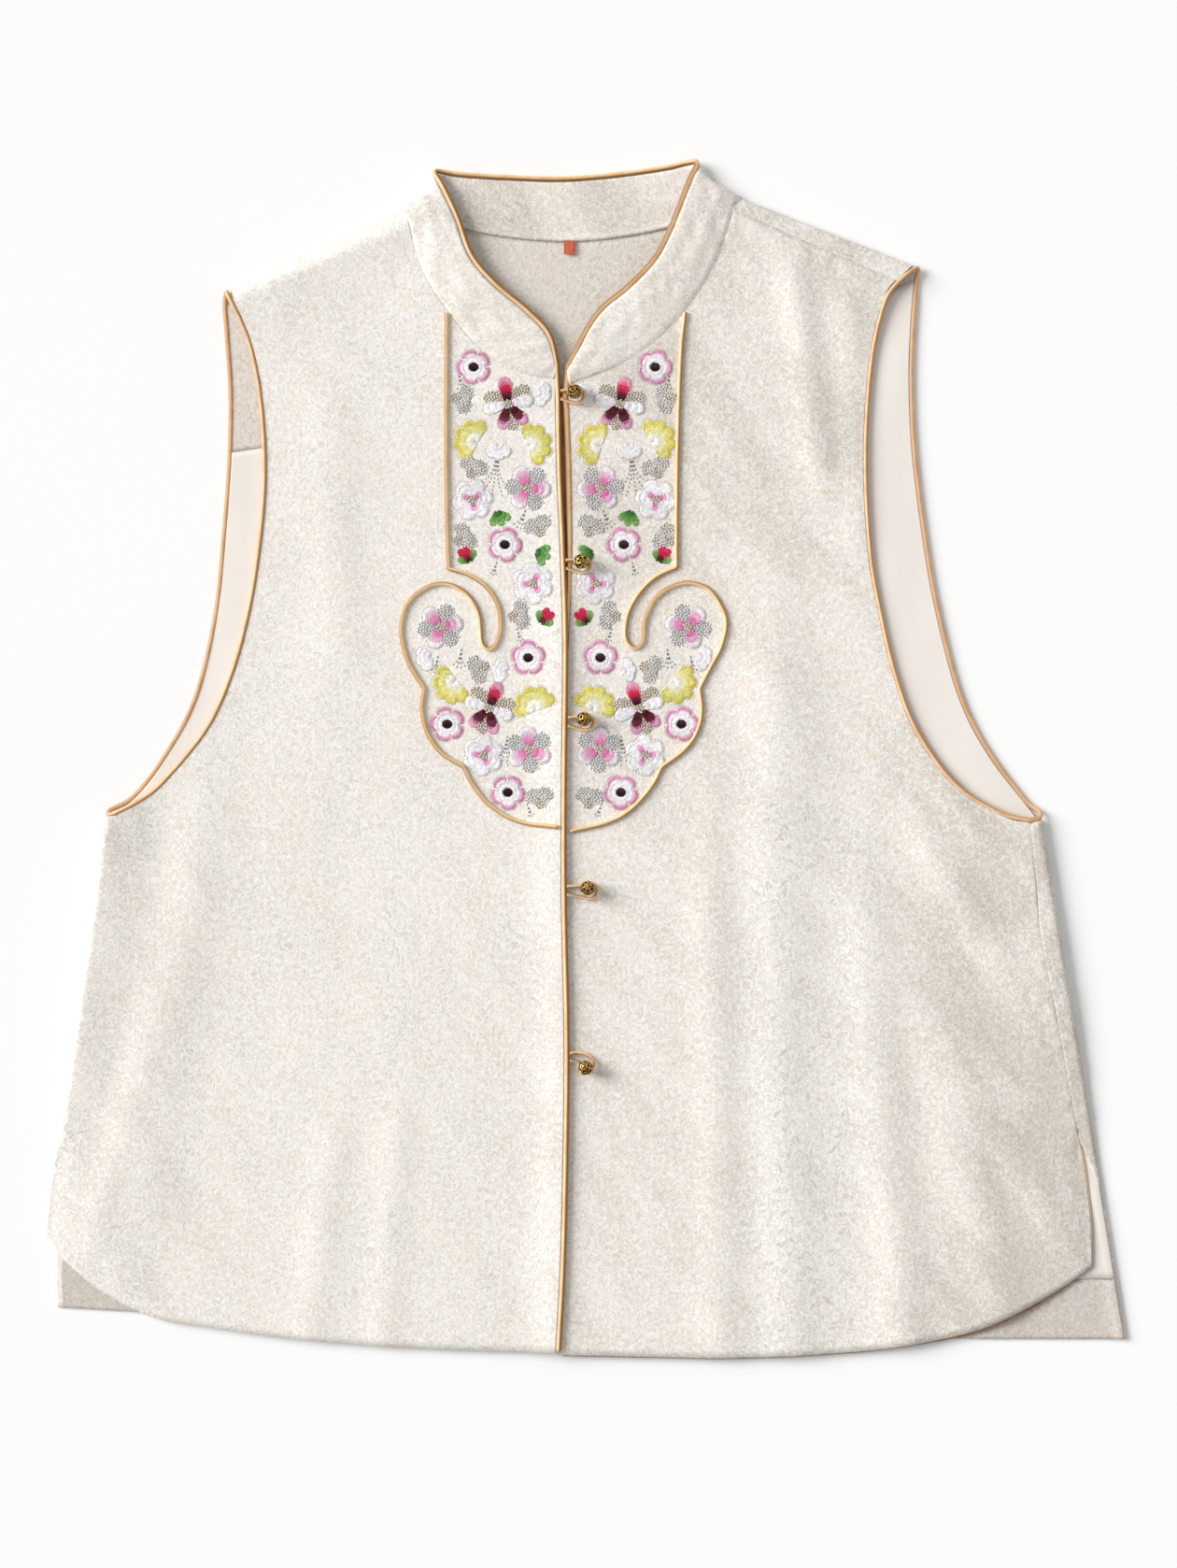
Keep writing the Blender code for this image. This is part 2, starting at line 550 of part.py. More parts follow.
def front_rows(side):
    """Rows of a front panel from its hem to its shoulder; the first point is the wearer's right."""
    here = SIDES[side]
    right = side == "right"
    out = here["out"]
    slit = Curve(FRONT_SLIT_RIGHT if right else FRONT_SLIT_LEFT)
    neck = [row[:2] for row in COLLAR_SECTIONS]
    neck = neck[0:7] if right else neck[:15:-1]
    neck_edge = Curve(neck)
    edge_inset = EDGE_PIPING_RADIUS + SEAM_GAP
    hem_y = FRONT_HEM_RIGHT[0][1] if right else FRONT_HEM_LEFT[0][1]
    rows = []

    def inner_edge(y):
        return np.array((edge_x(side, y) + out * edge_inset, y))

    for t in FRONT_SLIT_ROWS:
        rows.append((inner_edge(hem_y + (FRONT_SLIT_TOP_Y - hem_y) * t), slit(t)))
    for t in FRONT_SIDE_ROWS:
        if right:
            outer = along(SIDE_FOLD_RIGHT, t) + outward(SIDE_FOLD_RIGHT) * SEAM_TURN
        else:
            y = SIDE_SEAM_LEFT[0][1] + (SIDE_SEAM_LEFT[-1][1] - SIDE_SEAM_LEFT[0][1]) * t
            outer = np.array((np.interp(y, *np.array(SIDE_SEAM_LEFT).T[::-1]) - 2 * SEAM_GAP, y))
        rows.append((inner_edge(FRONT_SLIT_TOP_Y + (FRONT_ARM_Y - FRONT_SLIT_TOP_Y) * t), outer))
    arm_inset = out * BACK_ARM_INSET
    for t in FRONT_ARM_ROWS:
        y = FRONT_ARM_Y + (FRONT_NECK_Y - FRONT_ARM_Y) * t / FRONT_ARM_AT_NECK
        rows.append((inner_edge(y), here["arm_front"].beside(t, arm_inset)))
    for step in FRONT_NECK_ROWS:
        share = NECK_ROWS_FROM + (arm_seam_share(side) - NECK_ROWS_FROM) * step
        outer = here["arm_front"].beside(share, arm_inset)
        rows.append((neck_edge.beside(0.02 + 0.98 * step, -out * FRONT_NECK_INSET), outer))
    rows.append(shoulder_ends(side))
    return [(row[1], row[0]) if right else row for row in rows]


def arm_seam_share(side):
    """The share of the front's armhole line at which the shoulder seam meets it."""
    return 1.0 if side == "right" else ARM_SEAM_SHARE_LEFT


def shoulder_ends(side):
    """The ends of a front's shoulder edge at neck and arm: on the right fold, below the left one."""
    here = SIDES[side]
    line = here["shoulder"]
    neck, arm = (along(line, at) for at in SHOULDER_SEAM_ENDS)
    if side == "right":
        return [neck + outward(line) * SEAM_TURN, arm + outward(line) * SEAM_TURN]
    depth = SHOULDER_SEAM_DEPTH_LEFT[0] + FOLD_RADIUS + SEAM_GAP
    return [neck - outward(line) * depth, here["arm_front"].beside(ARM_SEAM_SHARE_LEFT, BACK_ARM_INSET)]


def place_front(side):
    def place(x, y):
        point = np.array((x, y, front_height(side, x, y)))
        if side == "right":
            curl = float(smoothstep(*SIDE_CURL_Y, y))
            past = past_side(SIDE_FOLD_RIGHT, x, y)
            if y < SIDE_FOLDS_BELOW_Y and past > -FOLD_RADIUS:
                bend_round(point, SIDE_FOLD_RIGHT, past, curl, -1)
            past = past_shoulder(SHOULDER_FOLD_RIGHT, x, y)
            if y > SHOULDER_FOLDS_ABOVE_Y and past > -FOLD_RADIUS:
                bend_round(point, SHOULDER_FOLD_RIGHT, past, 1.0, -1)
        return point

    return place


def make_back(material):
    return panel(
        "back", back_rows(), BACK_STEPS, WIDE_MIDDLE, height_over(BACK_HEM), back_top(), place_back,
        PANEL_THICKNESS, material,
    )


def make_inner_layers(jacquard, lining):
    """The hem facing, the lining and the neck facing, which lie side by side on the back."""
    def flat(x, y):
        return x, y, LINING_Z

    hem = height_over(BACK_HEM)
    facing_edge = height_over(FACING_EDGE)
    hem_top = height_over([(x, y + HEM_FACING_DEPTH) for x, y in BACK_HEM])
    rows = inner_rows(HEM_FACING_ROWS, (), ())
    panel(
        "hem_facing", rows, FLAT_STEPS, HALF_MIDDLE, lambda x: hem(x) + HEM_INSET,
        lambda x: hem_top(x) - SEAM_GAP, flat, PANEL_THICKNESS, jacquard,
    )
    shares_arm = [[t * end for end in LINING_ARM_ENDS] for t in LINING_ARM_ROWS]
    rows = inner_rows(LINING_SLIT_ROWS, LINING_SIDE_ROWS, shares_arm)
    panel(
        "lining", rows, FLAT_STEPS, HALF_MIDDLE, hem_top, lambda x: facing_edge(x) - SEAM_GAP,
        flat, PANEL_THICKNESS, lining,
    )
    rows = inner_rows((), (), NECK_FACING_ROWS)
    neck = [(x, y - NECK_INSET) for x, y in BACK_NECK[1:-1]]
    right, left = (
        [along(line, t) - outward(line) * FOLD_INSET for t in NECK_FACING_SHOULDER]
        for line in (SHOULDER_FOLD_RIGHT, SHOULDER_FOLD_LEFT)
    )
    top = height_over_parts(right, neck, left[::-1])
    panel("neck_facing", rows, FLAT_STEPS, WIDE_MIDDLE, facing_edge, top, flat, PANEL_THICKNESS, jacquard)


def make_front(side, material):
    rows = front_rows(side)
    hem = height_over(FRONT_HEM_RIGHT if side == "right" else FRONT_HEM_LEFT)
    return panel(
        f"front_{side}", rows, FRONT_STEPS, HALF_MIDDLE, hem, lambda x: 0.0, place_front(side),
        PANEL_THICKNESS, material,
    )


COLLAR_COLUMNS = 52
COLLAR_BANDS = 3
COLLAR_END = 0.012
COLLAR_FOOT_GAP = 0.35
COLLAR_TOP_GAP = EDGE_PIPING_RADIUS + SEAM_GAP + 0.7


def make_collar(material):
    """The stand collar: one stiff band from front edge to front edge, folded over at both sides."""
    mesh = bmesh.new()
    bmesh.ops.create_grid(mesh, x_segments=COLLAR_COLUMNS, y_segments=COLLAR_BANDS, size=0.5)
    for vertex in mesh.verts:
        along_neck = COLLAR_END + (1 - 2 * COLLAR_END) * (vertex.co.x + 0.5)
        seam, top = NECK_SEAM(along_neck), COLLAR_TOP(along_neck)
        rise = top - seam
        full = np.linalg.norm(rise)
        low, high = COLLAR_FOOT_GAP / full, 1 - COLLAR_TOP_GAP / full
        point = seam + rise * (low + (high - low) * (vertex.co.y + 0.5))
        vertex.co = [value * MM for value in point]
    data = bpy.data.meshes.new("collar")
    mesh.to_mesh(data)
    mesh.free()
    collar = bpy.data.objects.new("collar", data)
    wall = collar.modifiers.new("thickness", "SOLIDIFY")
    wall.thickness = COLLAR_THICKNESS * MM
    wall.offset = 0.0
    return finish(collar, material)


# ---------------------------------------------------------------- trim
def tube(name, points, radius, material, closed=False, sides=6):
    data = bpy.data.curves.new(name, "CURVE")
    data.dimensions = "3D"
    data.bevel_depth = radius * MM
    data.bevel_resolution = (sides - 4) // 2
    data.use_fill_caps = not closed
    spline = data.splines.new("POLY")
    spline.points.add(len(points) - 1)
    for spot, point in zip(spline.points, points):
        spot.co = (*(value * MM for value in point), 1.0)
    spline.use_cyclic_u = closed
    return finish(bpy.data.objects.new(name, data), material)


def make_edge_piping(material):
    """One piping: up the right front edge, round the collar's upper edge and down the left."""
    right = [(edge_x("right", y), y, edge_height("right", y)) for y in np.linspace(-303.0, 186.0, 22)]
    left = [(edge_x("left", y), y, edge_height("left", y)) for y in np.linspace(186.0, -303.4, 22)]
    collar = [COLLAR_TOP(t) for t in np.linspace(0.0, 1.0, 46)]
    tube("edge_piping", right + collar + left, EDGE_PIPING_RADIUS, material)


def make_arm_piping(side, material):
    """The piping of an armhole: a ring along the front's edge, over the fold, and back on the table."""
    here = SIDES[side]
    points = []
    for t in np.linspace(0.0, 1.0, 20):
        x, y = here["arm_front"](t)
        inside = here["arm_front"].beside(t, here["out"] * BACK_ARM_INSET)
        low = LINING_Z + PANEL_THICKNESS / 2 + SEAM_GAP + ARM_PIPING_RADIUS
        points.append((x, y, max(low, front_height(side, *inside))))
    tip = along(here["shoulder"], 1.0)
    points.append((*tip, 0.5 * (points[-1][2] + ARM_PIPING_BACK_Z)))
    for t in np.linspace(0.985, 0.0, 20):
        points.append((*here["arm_back"](t), ARM_PIPING_BACK_Z))
    under = along(here["side"], 1.0) + outward(here["side"]) * 0.6
    points.append((under[0], under[1] + 3.2, 0.5 * (points[0][2] + ARM_PIPING_BACK_Z)))
    tube(f"arm_piping_{side}", points, ARM_PIPING_RADIUS, material, closed=True)


def on_front(side, x, y, rise):
    """A point above a front panel's upper face."""
    return x, y, front_height(side, x, y) + PANEL_THICKNESS / 2 + rise


def make_plaque_cord(side, material):
    outline, corners = (
        (PLAQUE_RIGHT, PLAQUE_CORNERS_RIGHT) if side == "right" else (PLAQUE_LEFT, PLAQUE_CORNERS_LEFT)
    )
    run = Curve(outline, corners)
    points = [on_front(side, *run(t), SEAM_GAP + PLAQUE_CORD_RADIUS) for t in np.linspace(0.0, 1.0, 52)]
    tube(f"plaque_cord_{side}", points, PLAQUE_CORD_RADIUS, material)


def make_button(number, x, y, metal):
    """A cast ball on a short shank."""
    base = on_front("left", x, y, SEAM_GAP)[2]
    mesh = bmesh.new()
    outline = [(0.0, base), (SHANK_RADIUS, base), (SHANK_RADIUS, base + SHANK_HEIGHT)]
    centre = base + SHANK_HEIGHT + BUTTON_RADIUS - 0.2
    start = math.asin(SHANK_RADIUS / BUTTON_RADIUS)
    for step in range(1, 8):
        angle = start + (math.pi - start) * step / 7
        outline.append((BUTTON_RADIUS * math.sin(angle), centre - BUTTON_RADIUS * math.cos(angle)))
    outline[-1] = (0.0, centre + BUTTON_RADIUS)
    ring = [mesh.verts.new(((x + r) * MM, y * MM, z * MM)) for r, z in outline]
    edges = [mesh.edges.new(pair) for pair in zip(ring, ring[1:])]
    bmesh.ops.spin(
        mesh, geom=ring + edges, cent=(x * MM, y * MM, 0), axis=(0, 0, 1), dvec=(0, 0, 0),
        angle=2 * math.pi, steps=10, use_merge=True, use_duplicate=False,
    )
    bmesh.ops.remove_doubles(mesh, verts=mesh.verts, dist=0.00001)
    bmesh.ops.recalc_face_normals(mesh, faces=mesh.faces)
    data = bpy.data.meshes.new(f"button_{number}")
    mesh.to_mesh(data)
    mesh.free()
    finish(bpy.data.objects.new(f"button_{number}", data), metal)


def make_loop(number, x, y, material):
    """A cord loop: out of the right front edge, round the button's shank, and back below itself."""
    start_x = edge_x("right", y) + EDGE_PIPING_RADIUS + SEAM_GAP
    start_z = edge_height("right", y)
    low = on_front("left", x, y, SEAM_GAP + LOOP_LIFT)[2]
    bridge = max(start_z, EDGE_Z + EDGE_PIPING_RADIUS + LOOP_RADIUS + 2 * SEAM_GAP)
    upper, lower = (y + step for step in LOOP_LEGS_Y)
    points = [(start_x, upper, bridge)]
    if x - start_x > LONG_LOOP:
        points.append((0.5 * (x + start_x) - 1.0, upper + 0.2, 0.5 * (bridge + low)))
    for degrees in range(*LOOP_TURN_DEGREES):
        angle = math.radians(degrees)
        slack = 1 + LOOP_SLACK * max(0.0, math.sin(LOOP_SLACK_FROM - angle))
        reach = LOOP_REACH * slack
        points.append((x + reach * math.cos(angle), y + reach * math.sin(angle), low))
    points.append((x + LOOP_RETURN[0], y + LOOP_RETURN[1], low + LOOP_RETURN[2]))
    points.append((start_x, lower, bridge))
    run = Curve(points)
    tube(f"loop_{number}", [run(t) for t in np.linspace(0.0, 1.0, 18)], LOOP_RADIUS, material)


def make_label(material):
    mesh = bmesh.new()
    bmesh.ops.create_cube(mesh, size=1.0)
    width, length, thickness = LABEL_SIZE
    bmesh.ops.scale(mesh, verts=mesh.verts, vec=(width * MM, length * MM, thickness * MM))
    height = LINING_Z + PANEL_THICKNESS / 2 + SEAM_GAP + thickness / 2
    bmesh.ops.translate(mesh, verts=mesh.verts, vec=(LABEL_AT[0] * MM, LABEL_AT[1] * MM, height * MM))
    data = bpy.data.meshes.new("label")
    mesh.to_mesh(data)
    mesh.free()
    finish(bpy.data.objects.new("label", data), material)


def main():
    for old in list(bpy.data.objects):
        bpy.data.objects.remove(old)
    jacquard = plain_material("jacquard", (0.87, 0.81, 0.75), 0.5)
    lining = plain_material("lining", (0.86, 0.82, 0.77), 0.55)
    satin = plain_material("satin", (0.83, 0.5, 0.24), 0.4)
    cord = plain_material("cord", (0.72, 0.47, 0.2), 0.45)
    brass = plain_material("brass", (0.45, 0.28, 0.08), 0.35, 1.0)
    red = plain_material("label", (0.6, 0.06, 0.02), 0.6)
    make_back(jacquard)
    make_inner_layers(jacquard, lining)
    make_collar(jacquard)
    make_edge_piping(satin)
    for side in SIDES:
        make_front(side, jacquard)
        make_arm_piping(side, satin)
        make_plaque_cord(side, cord)
    for number, (x, y) in enumerate(BUTTONS, start=1):
        make_button(number, x, y, brass)
        make_loop(number, x, y, cord)
    make_label(red)


main()
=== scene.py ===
import math

import bmesh
import bpy
import numpy as np
from mathutils import Euler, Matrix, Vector, noise


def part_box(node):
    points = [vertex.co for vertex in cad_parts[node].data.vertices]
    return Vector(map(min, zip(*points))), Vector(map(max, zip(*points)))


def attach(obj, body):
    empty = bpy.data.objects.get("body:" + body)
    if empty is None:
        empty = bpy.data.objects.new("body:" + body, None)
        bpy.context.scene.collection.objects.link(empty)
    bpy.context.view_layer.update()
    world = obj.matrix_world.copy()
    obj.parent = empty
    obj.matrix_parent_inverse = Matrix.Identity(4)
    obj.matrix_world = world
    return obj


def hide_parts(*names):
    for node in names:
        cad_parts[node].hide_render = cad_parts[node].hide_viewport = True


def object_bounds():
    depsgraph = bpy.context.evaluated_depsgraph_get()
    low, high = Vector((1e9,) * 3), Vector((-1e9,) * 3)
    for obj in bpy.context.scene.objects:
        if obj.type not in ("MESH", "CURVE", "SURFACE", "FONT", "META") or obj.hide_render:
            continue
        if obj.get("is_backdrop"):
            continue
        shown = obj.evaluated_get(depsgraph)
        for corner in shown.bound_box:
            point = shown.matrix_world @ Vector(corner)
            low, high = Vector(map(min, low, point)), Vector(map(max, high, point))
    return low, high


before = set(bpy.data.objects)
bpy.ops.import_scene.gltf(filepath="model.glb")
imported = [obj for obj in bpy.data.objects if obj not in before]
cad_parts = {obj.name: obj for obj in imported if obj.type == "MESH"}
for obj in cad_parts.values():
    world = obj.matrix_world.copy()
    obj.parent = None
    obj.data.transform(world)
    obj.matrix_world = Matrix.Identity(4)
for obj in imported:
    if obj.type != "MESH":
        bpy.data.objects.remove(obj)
cad_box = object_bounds()


# The back: one whole panel of lined silk jacquard, square-cornered at the hem. It lies face down and
# turns up round the sides and over the shoulders, where it meets the fronts; on the wearer's left
# both seams have rolled to the front. The numbers are millimetres, hem at the bottom of +Y.
MM = 0.001
CLOTH = 1.0
SEAM_GAP = 0.3
BACK_Z = 0.56
FOLD_RADIUS = 2.6
SLIT_CURL = (-200.5, -196.0)
SLIT_TURN = (0.62, 2.0)
SEAM_TURN = (math.pi / 2 - 1) * FOLD_RADIUS - SEAM_GAP
BACK_HEM = ((-271.7, -281.5), (-150.0, -288.0), (0.0, -293.8), (150.0, -297.0), (276.5, -297.4))
BACK_SLIT_RIGHT = ((-271.7, -281.5), (-272.2, -258.0), (-271.0, -224.4), (-269.8, -200.0))
SIDE_FOLD_RIGHT = ((-269.8, -191.8), (-246.7, -30.0))
SIDE_FOLD_LEFT = ((259.6, -191.8), (233.6, -33.0))
SIDE_SEAM_LEFT = ((252.0, -191.8), (245.8, -157.2), (239.0, -122.2), (232.3, -85.2), (227.8, -33.0))
ARM_BACK_RIGHT = (
    (-243.6, -26.4), (-231.6, -18.0), (-217.2, 0.7), (-201.2, 31.0), (-190.8, 73.2), (-186.2, 116.4),
    (-183.4, 154.8), (-182.9, 188.4), (-184.8, 217.2), (-186.2, 237.4),
)
ARM_BACK_LEFT = (
    (232.6, -30.4), (207.4, 2.2), (192.0, 32.4), (181.0, 73.2), (174.7, 106.8),
    (168.5, 154.8), (166.6, 193.2), (167.5, 222.0), (169.6, 248.8),
)
SHOULDER_FOLD_RIGHT = ((-92.2, 283.4), (-184.8, 239.3))
SHOULDER_FOLD_LEFT = ((76.8, 288.0), (169.9, 251.8))
SHOULDER_SEAM_DEPTH = (4.0, 8.5)
BACK_NECK = (
    (-91.5, 282.6), (-75.8, 275.8), (-59.5, 272.0), (-9.1, 266.8), (43.2, 273.4), (61.0, 279.4),
    (76.0, 287.0),
)
ARM_INSET = 1.2
SEAM_ALLOWANCE = 2.4
SEAM_STEP = 1.2
SEAM_DIP = 0.2
BACK_GRID = 150
SETTLE = 0.46


def smoothstep(low, high, value):
    t = np.clip((value - low) / (high - low), 0.0, 1.0)
    return t * t * (3 - 2 * t)


class Line:
    """A smooth line through points, sharp only at its corners, read by shares of its length."""

    def __init__(self, points, corners=()):
        points = np.array(points, dtype=float)
        ends = [0, *corners, len(points) - 1]
        runs = [self.smooth(points[a : b + 1]) for a, b in zip(ends, ends[1:])]
        self.points = np.vstack([run[:-1] for run in runs] + [runs[-1][-1:]])
        steps = np.linalg.norm(np.diff(self.points, axis=0), axis=1)
        self.length = steps.sum()
        self.shares = np.concatenate(([0.0], np.cumsum(steps))) / self.length

    @staticmethod
    def smooth(points, per_span=12):
        if len(points) < 3:
            return np.linspace(points[0], points[-1], per_span + 1)
        padded = np.vstack((2 * points[0] - points[1], points, 2 * points[-1] - points[-2]))
        t = (np.arange(per_span) / per_span)[:, None]
        run = []
        for a, b, c, d in zip(padded, padded[1:], padded[2:], padded[3:]):
            pull = (c - a) * t + (2 * a - 5 * b + 4 * c - d) * t**2 + (3 * b - a - 3 * c + d) * t**3
            run.append(b + 0.5 * pull)
        return np.vstack((*run, points[-1:]))

    def at(self, shares):
        return np.stack([np.interp(shares, self.shares, column) for column in self.points.T], -1)

    def beside(self, shares, distance):
        """Points that lie to the left of the line's run by a distance."""
        shares = np.asarray(shares, dtype=float)
        run = self.at(np.minimum(shares + 0.004, 1.0)) - self.at(np.maximum(shares - 0.004, 0.0))
        run = run[..., :2] / np.linalg.norm(run[..., :2], axis=-1, keepdims=True)
        points = self.at(shares)
        aside = np.stack((-run[..., 1], run[..., 0]), -1)
        points[..., :2] += aside * np.asarray(distance)[..., None]
        return points

    def height(self, x):
        """The line's y over x, for a line that runs across."""
        order = np.argsort(self.points[:, 0], kind="stable")
        return np.interp(x, self.points[order, 0], self.points[order, 1])

    def width(self, y):
        """The line's x at y, for a line that runs up."""
        order = np.argsort(self.points[:, 1], kind="stable")
        return np.interp(y, self.points[order, 1], self.points[order, 0])


def along(fold, at):
    at = np.asarray(at, dtype=float)[..., None]
    return np.array(fold[0]) * (1 - at) + np.array(fold[1]) * at


def outward(fold):
    run = np.subtract(fold[1], fold[0])
    out = np.array((-run[1], run[0])) / np.linalg.norm(run)
    return out if out.dot(np.add(*fold)) > 0 else -out


def past(fold, x, y):
    """How far points lie outside a fold."""
    out = outward(fold)
    return (x - fold[0][0]) * out[0] + (y - fold[0][1]) * out[1]


def turn_round(points, fold, curl, up, where, radius=FOLD_RADIUS):
    """Bends the cloth that runs past a fold round it, upwards or downwards."""
    over = past(fold, points[:, 0], points[:, 1])
    run = np.maximum(over + radius, 0.0)
    bend = np.maximum(curl, 0.01) / radius
    arc = np.minimum(run, math.pi * radius)
    reach = np.sin(bend * arc) / bend + (run - arc) * np.cos(bend * arc)
    rise = (1 - np.cos(bend * arc)) / bend + (run - arc) * np.sin(bend * arc)
    bent = np.where(where & (run > 0), 1.0, 0.0)
    points[:, :2] += (bent * (reach - radius - over))[:, None] * outward(fold)
    points[:, 2] += bent * up * rise


def crossings(width, steps, count):
    """Shares across a row of a given width: fixed steps at both edges, even ones between."""
    inner = np.linspace(steps[-1] / width, 1 - steps[-1] / width, count - 2 * len(steps) + 2)
    edge = np.array(steps[:-1]) / width
    return np.concatenate((edge, inner, 1 - edge[::-1]))


EDGE_STEPS = (0.0, 0.5, 1.1, 1.8, 2.7, 3.8, 5.2)
BACK_STEPS = (*EDGE_STEPS, 6.6, 8.0, 9.2, 10.4, 11.6, 12.8, 14.0, 15.2, 16.4, 17.8, 19.4, 21.4, 24.0)


def rows_between(first, last, columns, steps=EDGE_STEPS):
    """A flat net of points between two edges that have one point for each row."""
    rows = []
    for a, b in zip(first, last):
        share = crossings(np.linalg.norm(b - a), steps, columns)[:, None]
        rows.append(a * (1 - share) + b * share)
    return np.array(rows)


def bow(net, line, row, weights):
    """Bends the rows near a net's hem or top to the curve of that edge."""
    x = net[row, :, 0]
    ends = line(x[[0, -1]])
    share = (x - x[0]) / (x[-1] - x[0])
    net[:, :, 1] += (line(x) - ends[0] - (ends[1] - ends[0]) * share) * weights[:, None]


def sew_on(name, data, finish):
    """Puts a finished mesh into the scene as a piece of the waistcoat."""
    data.materials.append(finish)
    piece = bpy.data.objects.new(name, data)
    bpy.context.scene.collection.objects.link(piece)
    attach(piece, "root")
    return piece


def as_mesh(name, shape):
    """Turns a bmesh into a mesh under a name, with its faces shaded smooth."""
    for face in shape.faces:
        face.smooth = True
    data = bpy.data.meshes.new(name)
    shape.to_mesh(data)
    shape.free()
    return data


def cloth(name, net, place, finish, thickness=CLOTH):
    """A cloth piece: a fine grid laid on a net, with the unfolded pattern as its UV map."""
    rows, columns = net.shape[:2]
    mesh = bmesh.new()
    bmesh.ops.create_grid(mesh, x_segments=columns - 1, y_segments=rows - 1, size=0.5)
    data = as_mesh(name, mesh)
    spots = np.empty(len(data.vertices) * 3)
    data.vertices.foreach_get("co", spots)
    spots = spots.reshape(-1, 3)
    column = np.rint((spots[:, 0] + 0.5) * (columns - 1)).astype(int)
    row = np.rint((spots[:, 1] + 0.5) * (rows - 1)).astype(int)
    flat = net[row, column]
    placed = place(flat[:, 0], flat[:, 1])
    data.vertices.foreach_set("co", (placed * MM).ravel())
    corners = np.empty(len(data.loops), dtype=np.int32)
    data.loops.foreach_get("vertex_index", corners)
    data.uv_layers.new(name="cloth").uv.foreach_set("vector", (flat[corners, :2] * MM).ravel())
    piece = sew_on(name, data, finish)
    wall = piece.modifiers.new("thickness", "SOLIDIFY")
    wall.thickness = thickness * MM
    wall.offset = 0.0
    return piece


def wave(x, y, size, seed):
    """Smooth unevenness of about -1 to 1, with bumps of a given size."""
    return np.array([noise.noise((a / size, b / size, seed)) for a, b in zip(x, y)])


def stack(*parts):
    return np.vstack([np.atleast_2d(part) for part in parts])


def left_radius(y):
    """The left side's fold: round under the arm, pressed nearly flat down the slit."""
    return SLIT_TURN[0] + (FOLD_RADIUS - SLIT_TURN[0]) * smoothstep(-225.0, -120.0, y)


def left_turn(y):
    """How wide the back turns over at the left: to the seam, or a narrow edge down the slit."""
    seam = SEAM_ALLOWANCE - past(SIDE_FOLD_LEFT, Line(SIDE_SEAM_LEFT).width(y), y)
    return SLIT_TURN[1] + (seam - SLIT_TURN[1]) * smoothstep(-216.0, -178.0, y)


SHOULDER_TURN = (math.pi - 1) * FOLD_RADIUS
arm_back = {-1: Line(ARM_BACK_RIGHT), 1: Line(ARM_BACK_LEFT)}
shoulder_fold = {-1: SHOULDER_FOLD_RIGHT, 1: SHOULDER_FOLD_LEFT}
side_fold = {-1: SIDE_FOLD_RIGHT, 1: SIDE_FOLD_LEFT}
slit_rows = np.linspace(0.0, 1.0, 24)
side_rows = np.concatenate((np.linspace(-0.045, -0.006, 6), np.linspace(0.0, 0.985, 65)))
left_rows = np.concatenate((np.linspace(-0.665, -0.165, 24), np.linspace(-0.15, 1.0, 71)))
arm_rows = np.linspace(0.004, 1.0, 112)
flap_rows = np.linspace(0.06, 1.0, 16)[:, None]
side_left = along(SIDE_FOLD_LEFT, left_rows)
past_fold = (math.pi - 2) * left_radius(side_left[:, 1]) + left_turn(side_left[:, 1])
edge_right = stack(
    Line(BACK_SLIT_RIGHT).at(slit_rows),
    along(SIDE_FOLD_RIGHT, side_rows) + outward(SIDE_FOLD_RIGHT) * SEAM_TURN,
    arm_back[-1].beside(arm_rows, -ARM_INSET),
)
edge_left = stack(
    side_left + outward(SIDE_FOLD_LEFT) * past_fold[:, None],
    arm_back[1].beside(arm_rows, ARM_INSET),
)
flap_left = np.array((-0.05, 1.0)) / outward(SHOULDER_FOLD_LEFT).dot((-0.05, 1.0))
edge_right = stack(edge_right, edge_right[-1] + outward(SHOULDER_FOLD_RIGHT) * SEAM_TURN * flap_rows)
flap_depth = SHOULDER_TURN + SHOULDER_SEAM_DEPTH[1] + SEAM_ALLOWANCE
edge_left = stack(edge_left, edge_left[-1] + flap_left * flap_depth * flap_rows)
back_net = rows_between(edge_right, edge_left, BACK_GRID, BACK_STEPS)
over_right, over_left = outward(SHOULDER_FOLD_RIGHT), outward(SHOULDER_FOLD_LEFT)
back_top = stack(
    edge_right[-1],
    BACK_NECK[0] + over_right * SEAM_TURN,
    Line(np.subtract(BACK_NECK, (0, 0.6))).points,
    BACK_NECK[-1] + over_left * (SHOULDER_TURN + SHOULDER_SEAM_DEPTH[0] + SEAM_ALLOWANCE) + (0.4, 0),
    edge_left[-1],
)
back_row = np.arange(len(back_net))
bow(back_net, Line(BACK_HEM).height, 0, np.maximum(0, 1 - back_row / 60) ** 1.5)
bow(
    back_net, lambda x: np.interp(x, *back_top.T), -1,
    smoothstep(len(back_net) - 78, len(back_net) - 17, back_row),
)


def beyond_seam(x, y):
    """How far placed points of the turned-over back lie beyond the side and shoulder seams."""
    side = np.where((y < 0) & (x > 0), Line(SIDE_SEAM_LEFT).width(y) - x, -9.0)
    down = -past(SHOULDER_FOLD_LEFT, x, y) - FOLD_RADIUS
    share = (x - SHOULDER_FOLD_LEFT[0][0]) / (SHOULDER_FOLD_LEFT[1][0] - SHOULDER_FOLD_LEFT[0][0])
    seam = SHOULDER_SEAM_DEPTH[0] + (SHOULDER_SEAM_DEPTH[1] - SHOULDER_SEAM_DEPTH[0]) * share
    return np.maximum(side, np.where((y > 150) & (x > 0), down - seam, -9.0))


def settled(y):
    """How far the rolled sides have settled, from 0 under the arm to 1 where the slits begin."""
    return smoothstep(-125.0, -190.0, y)


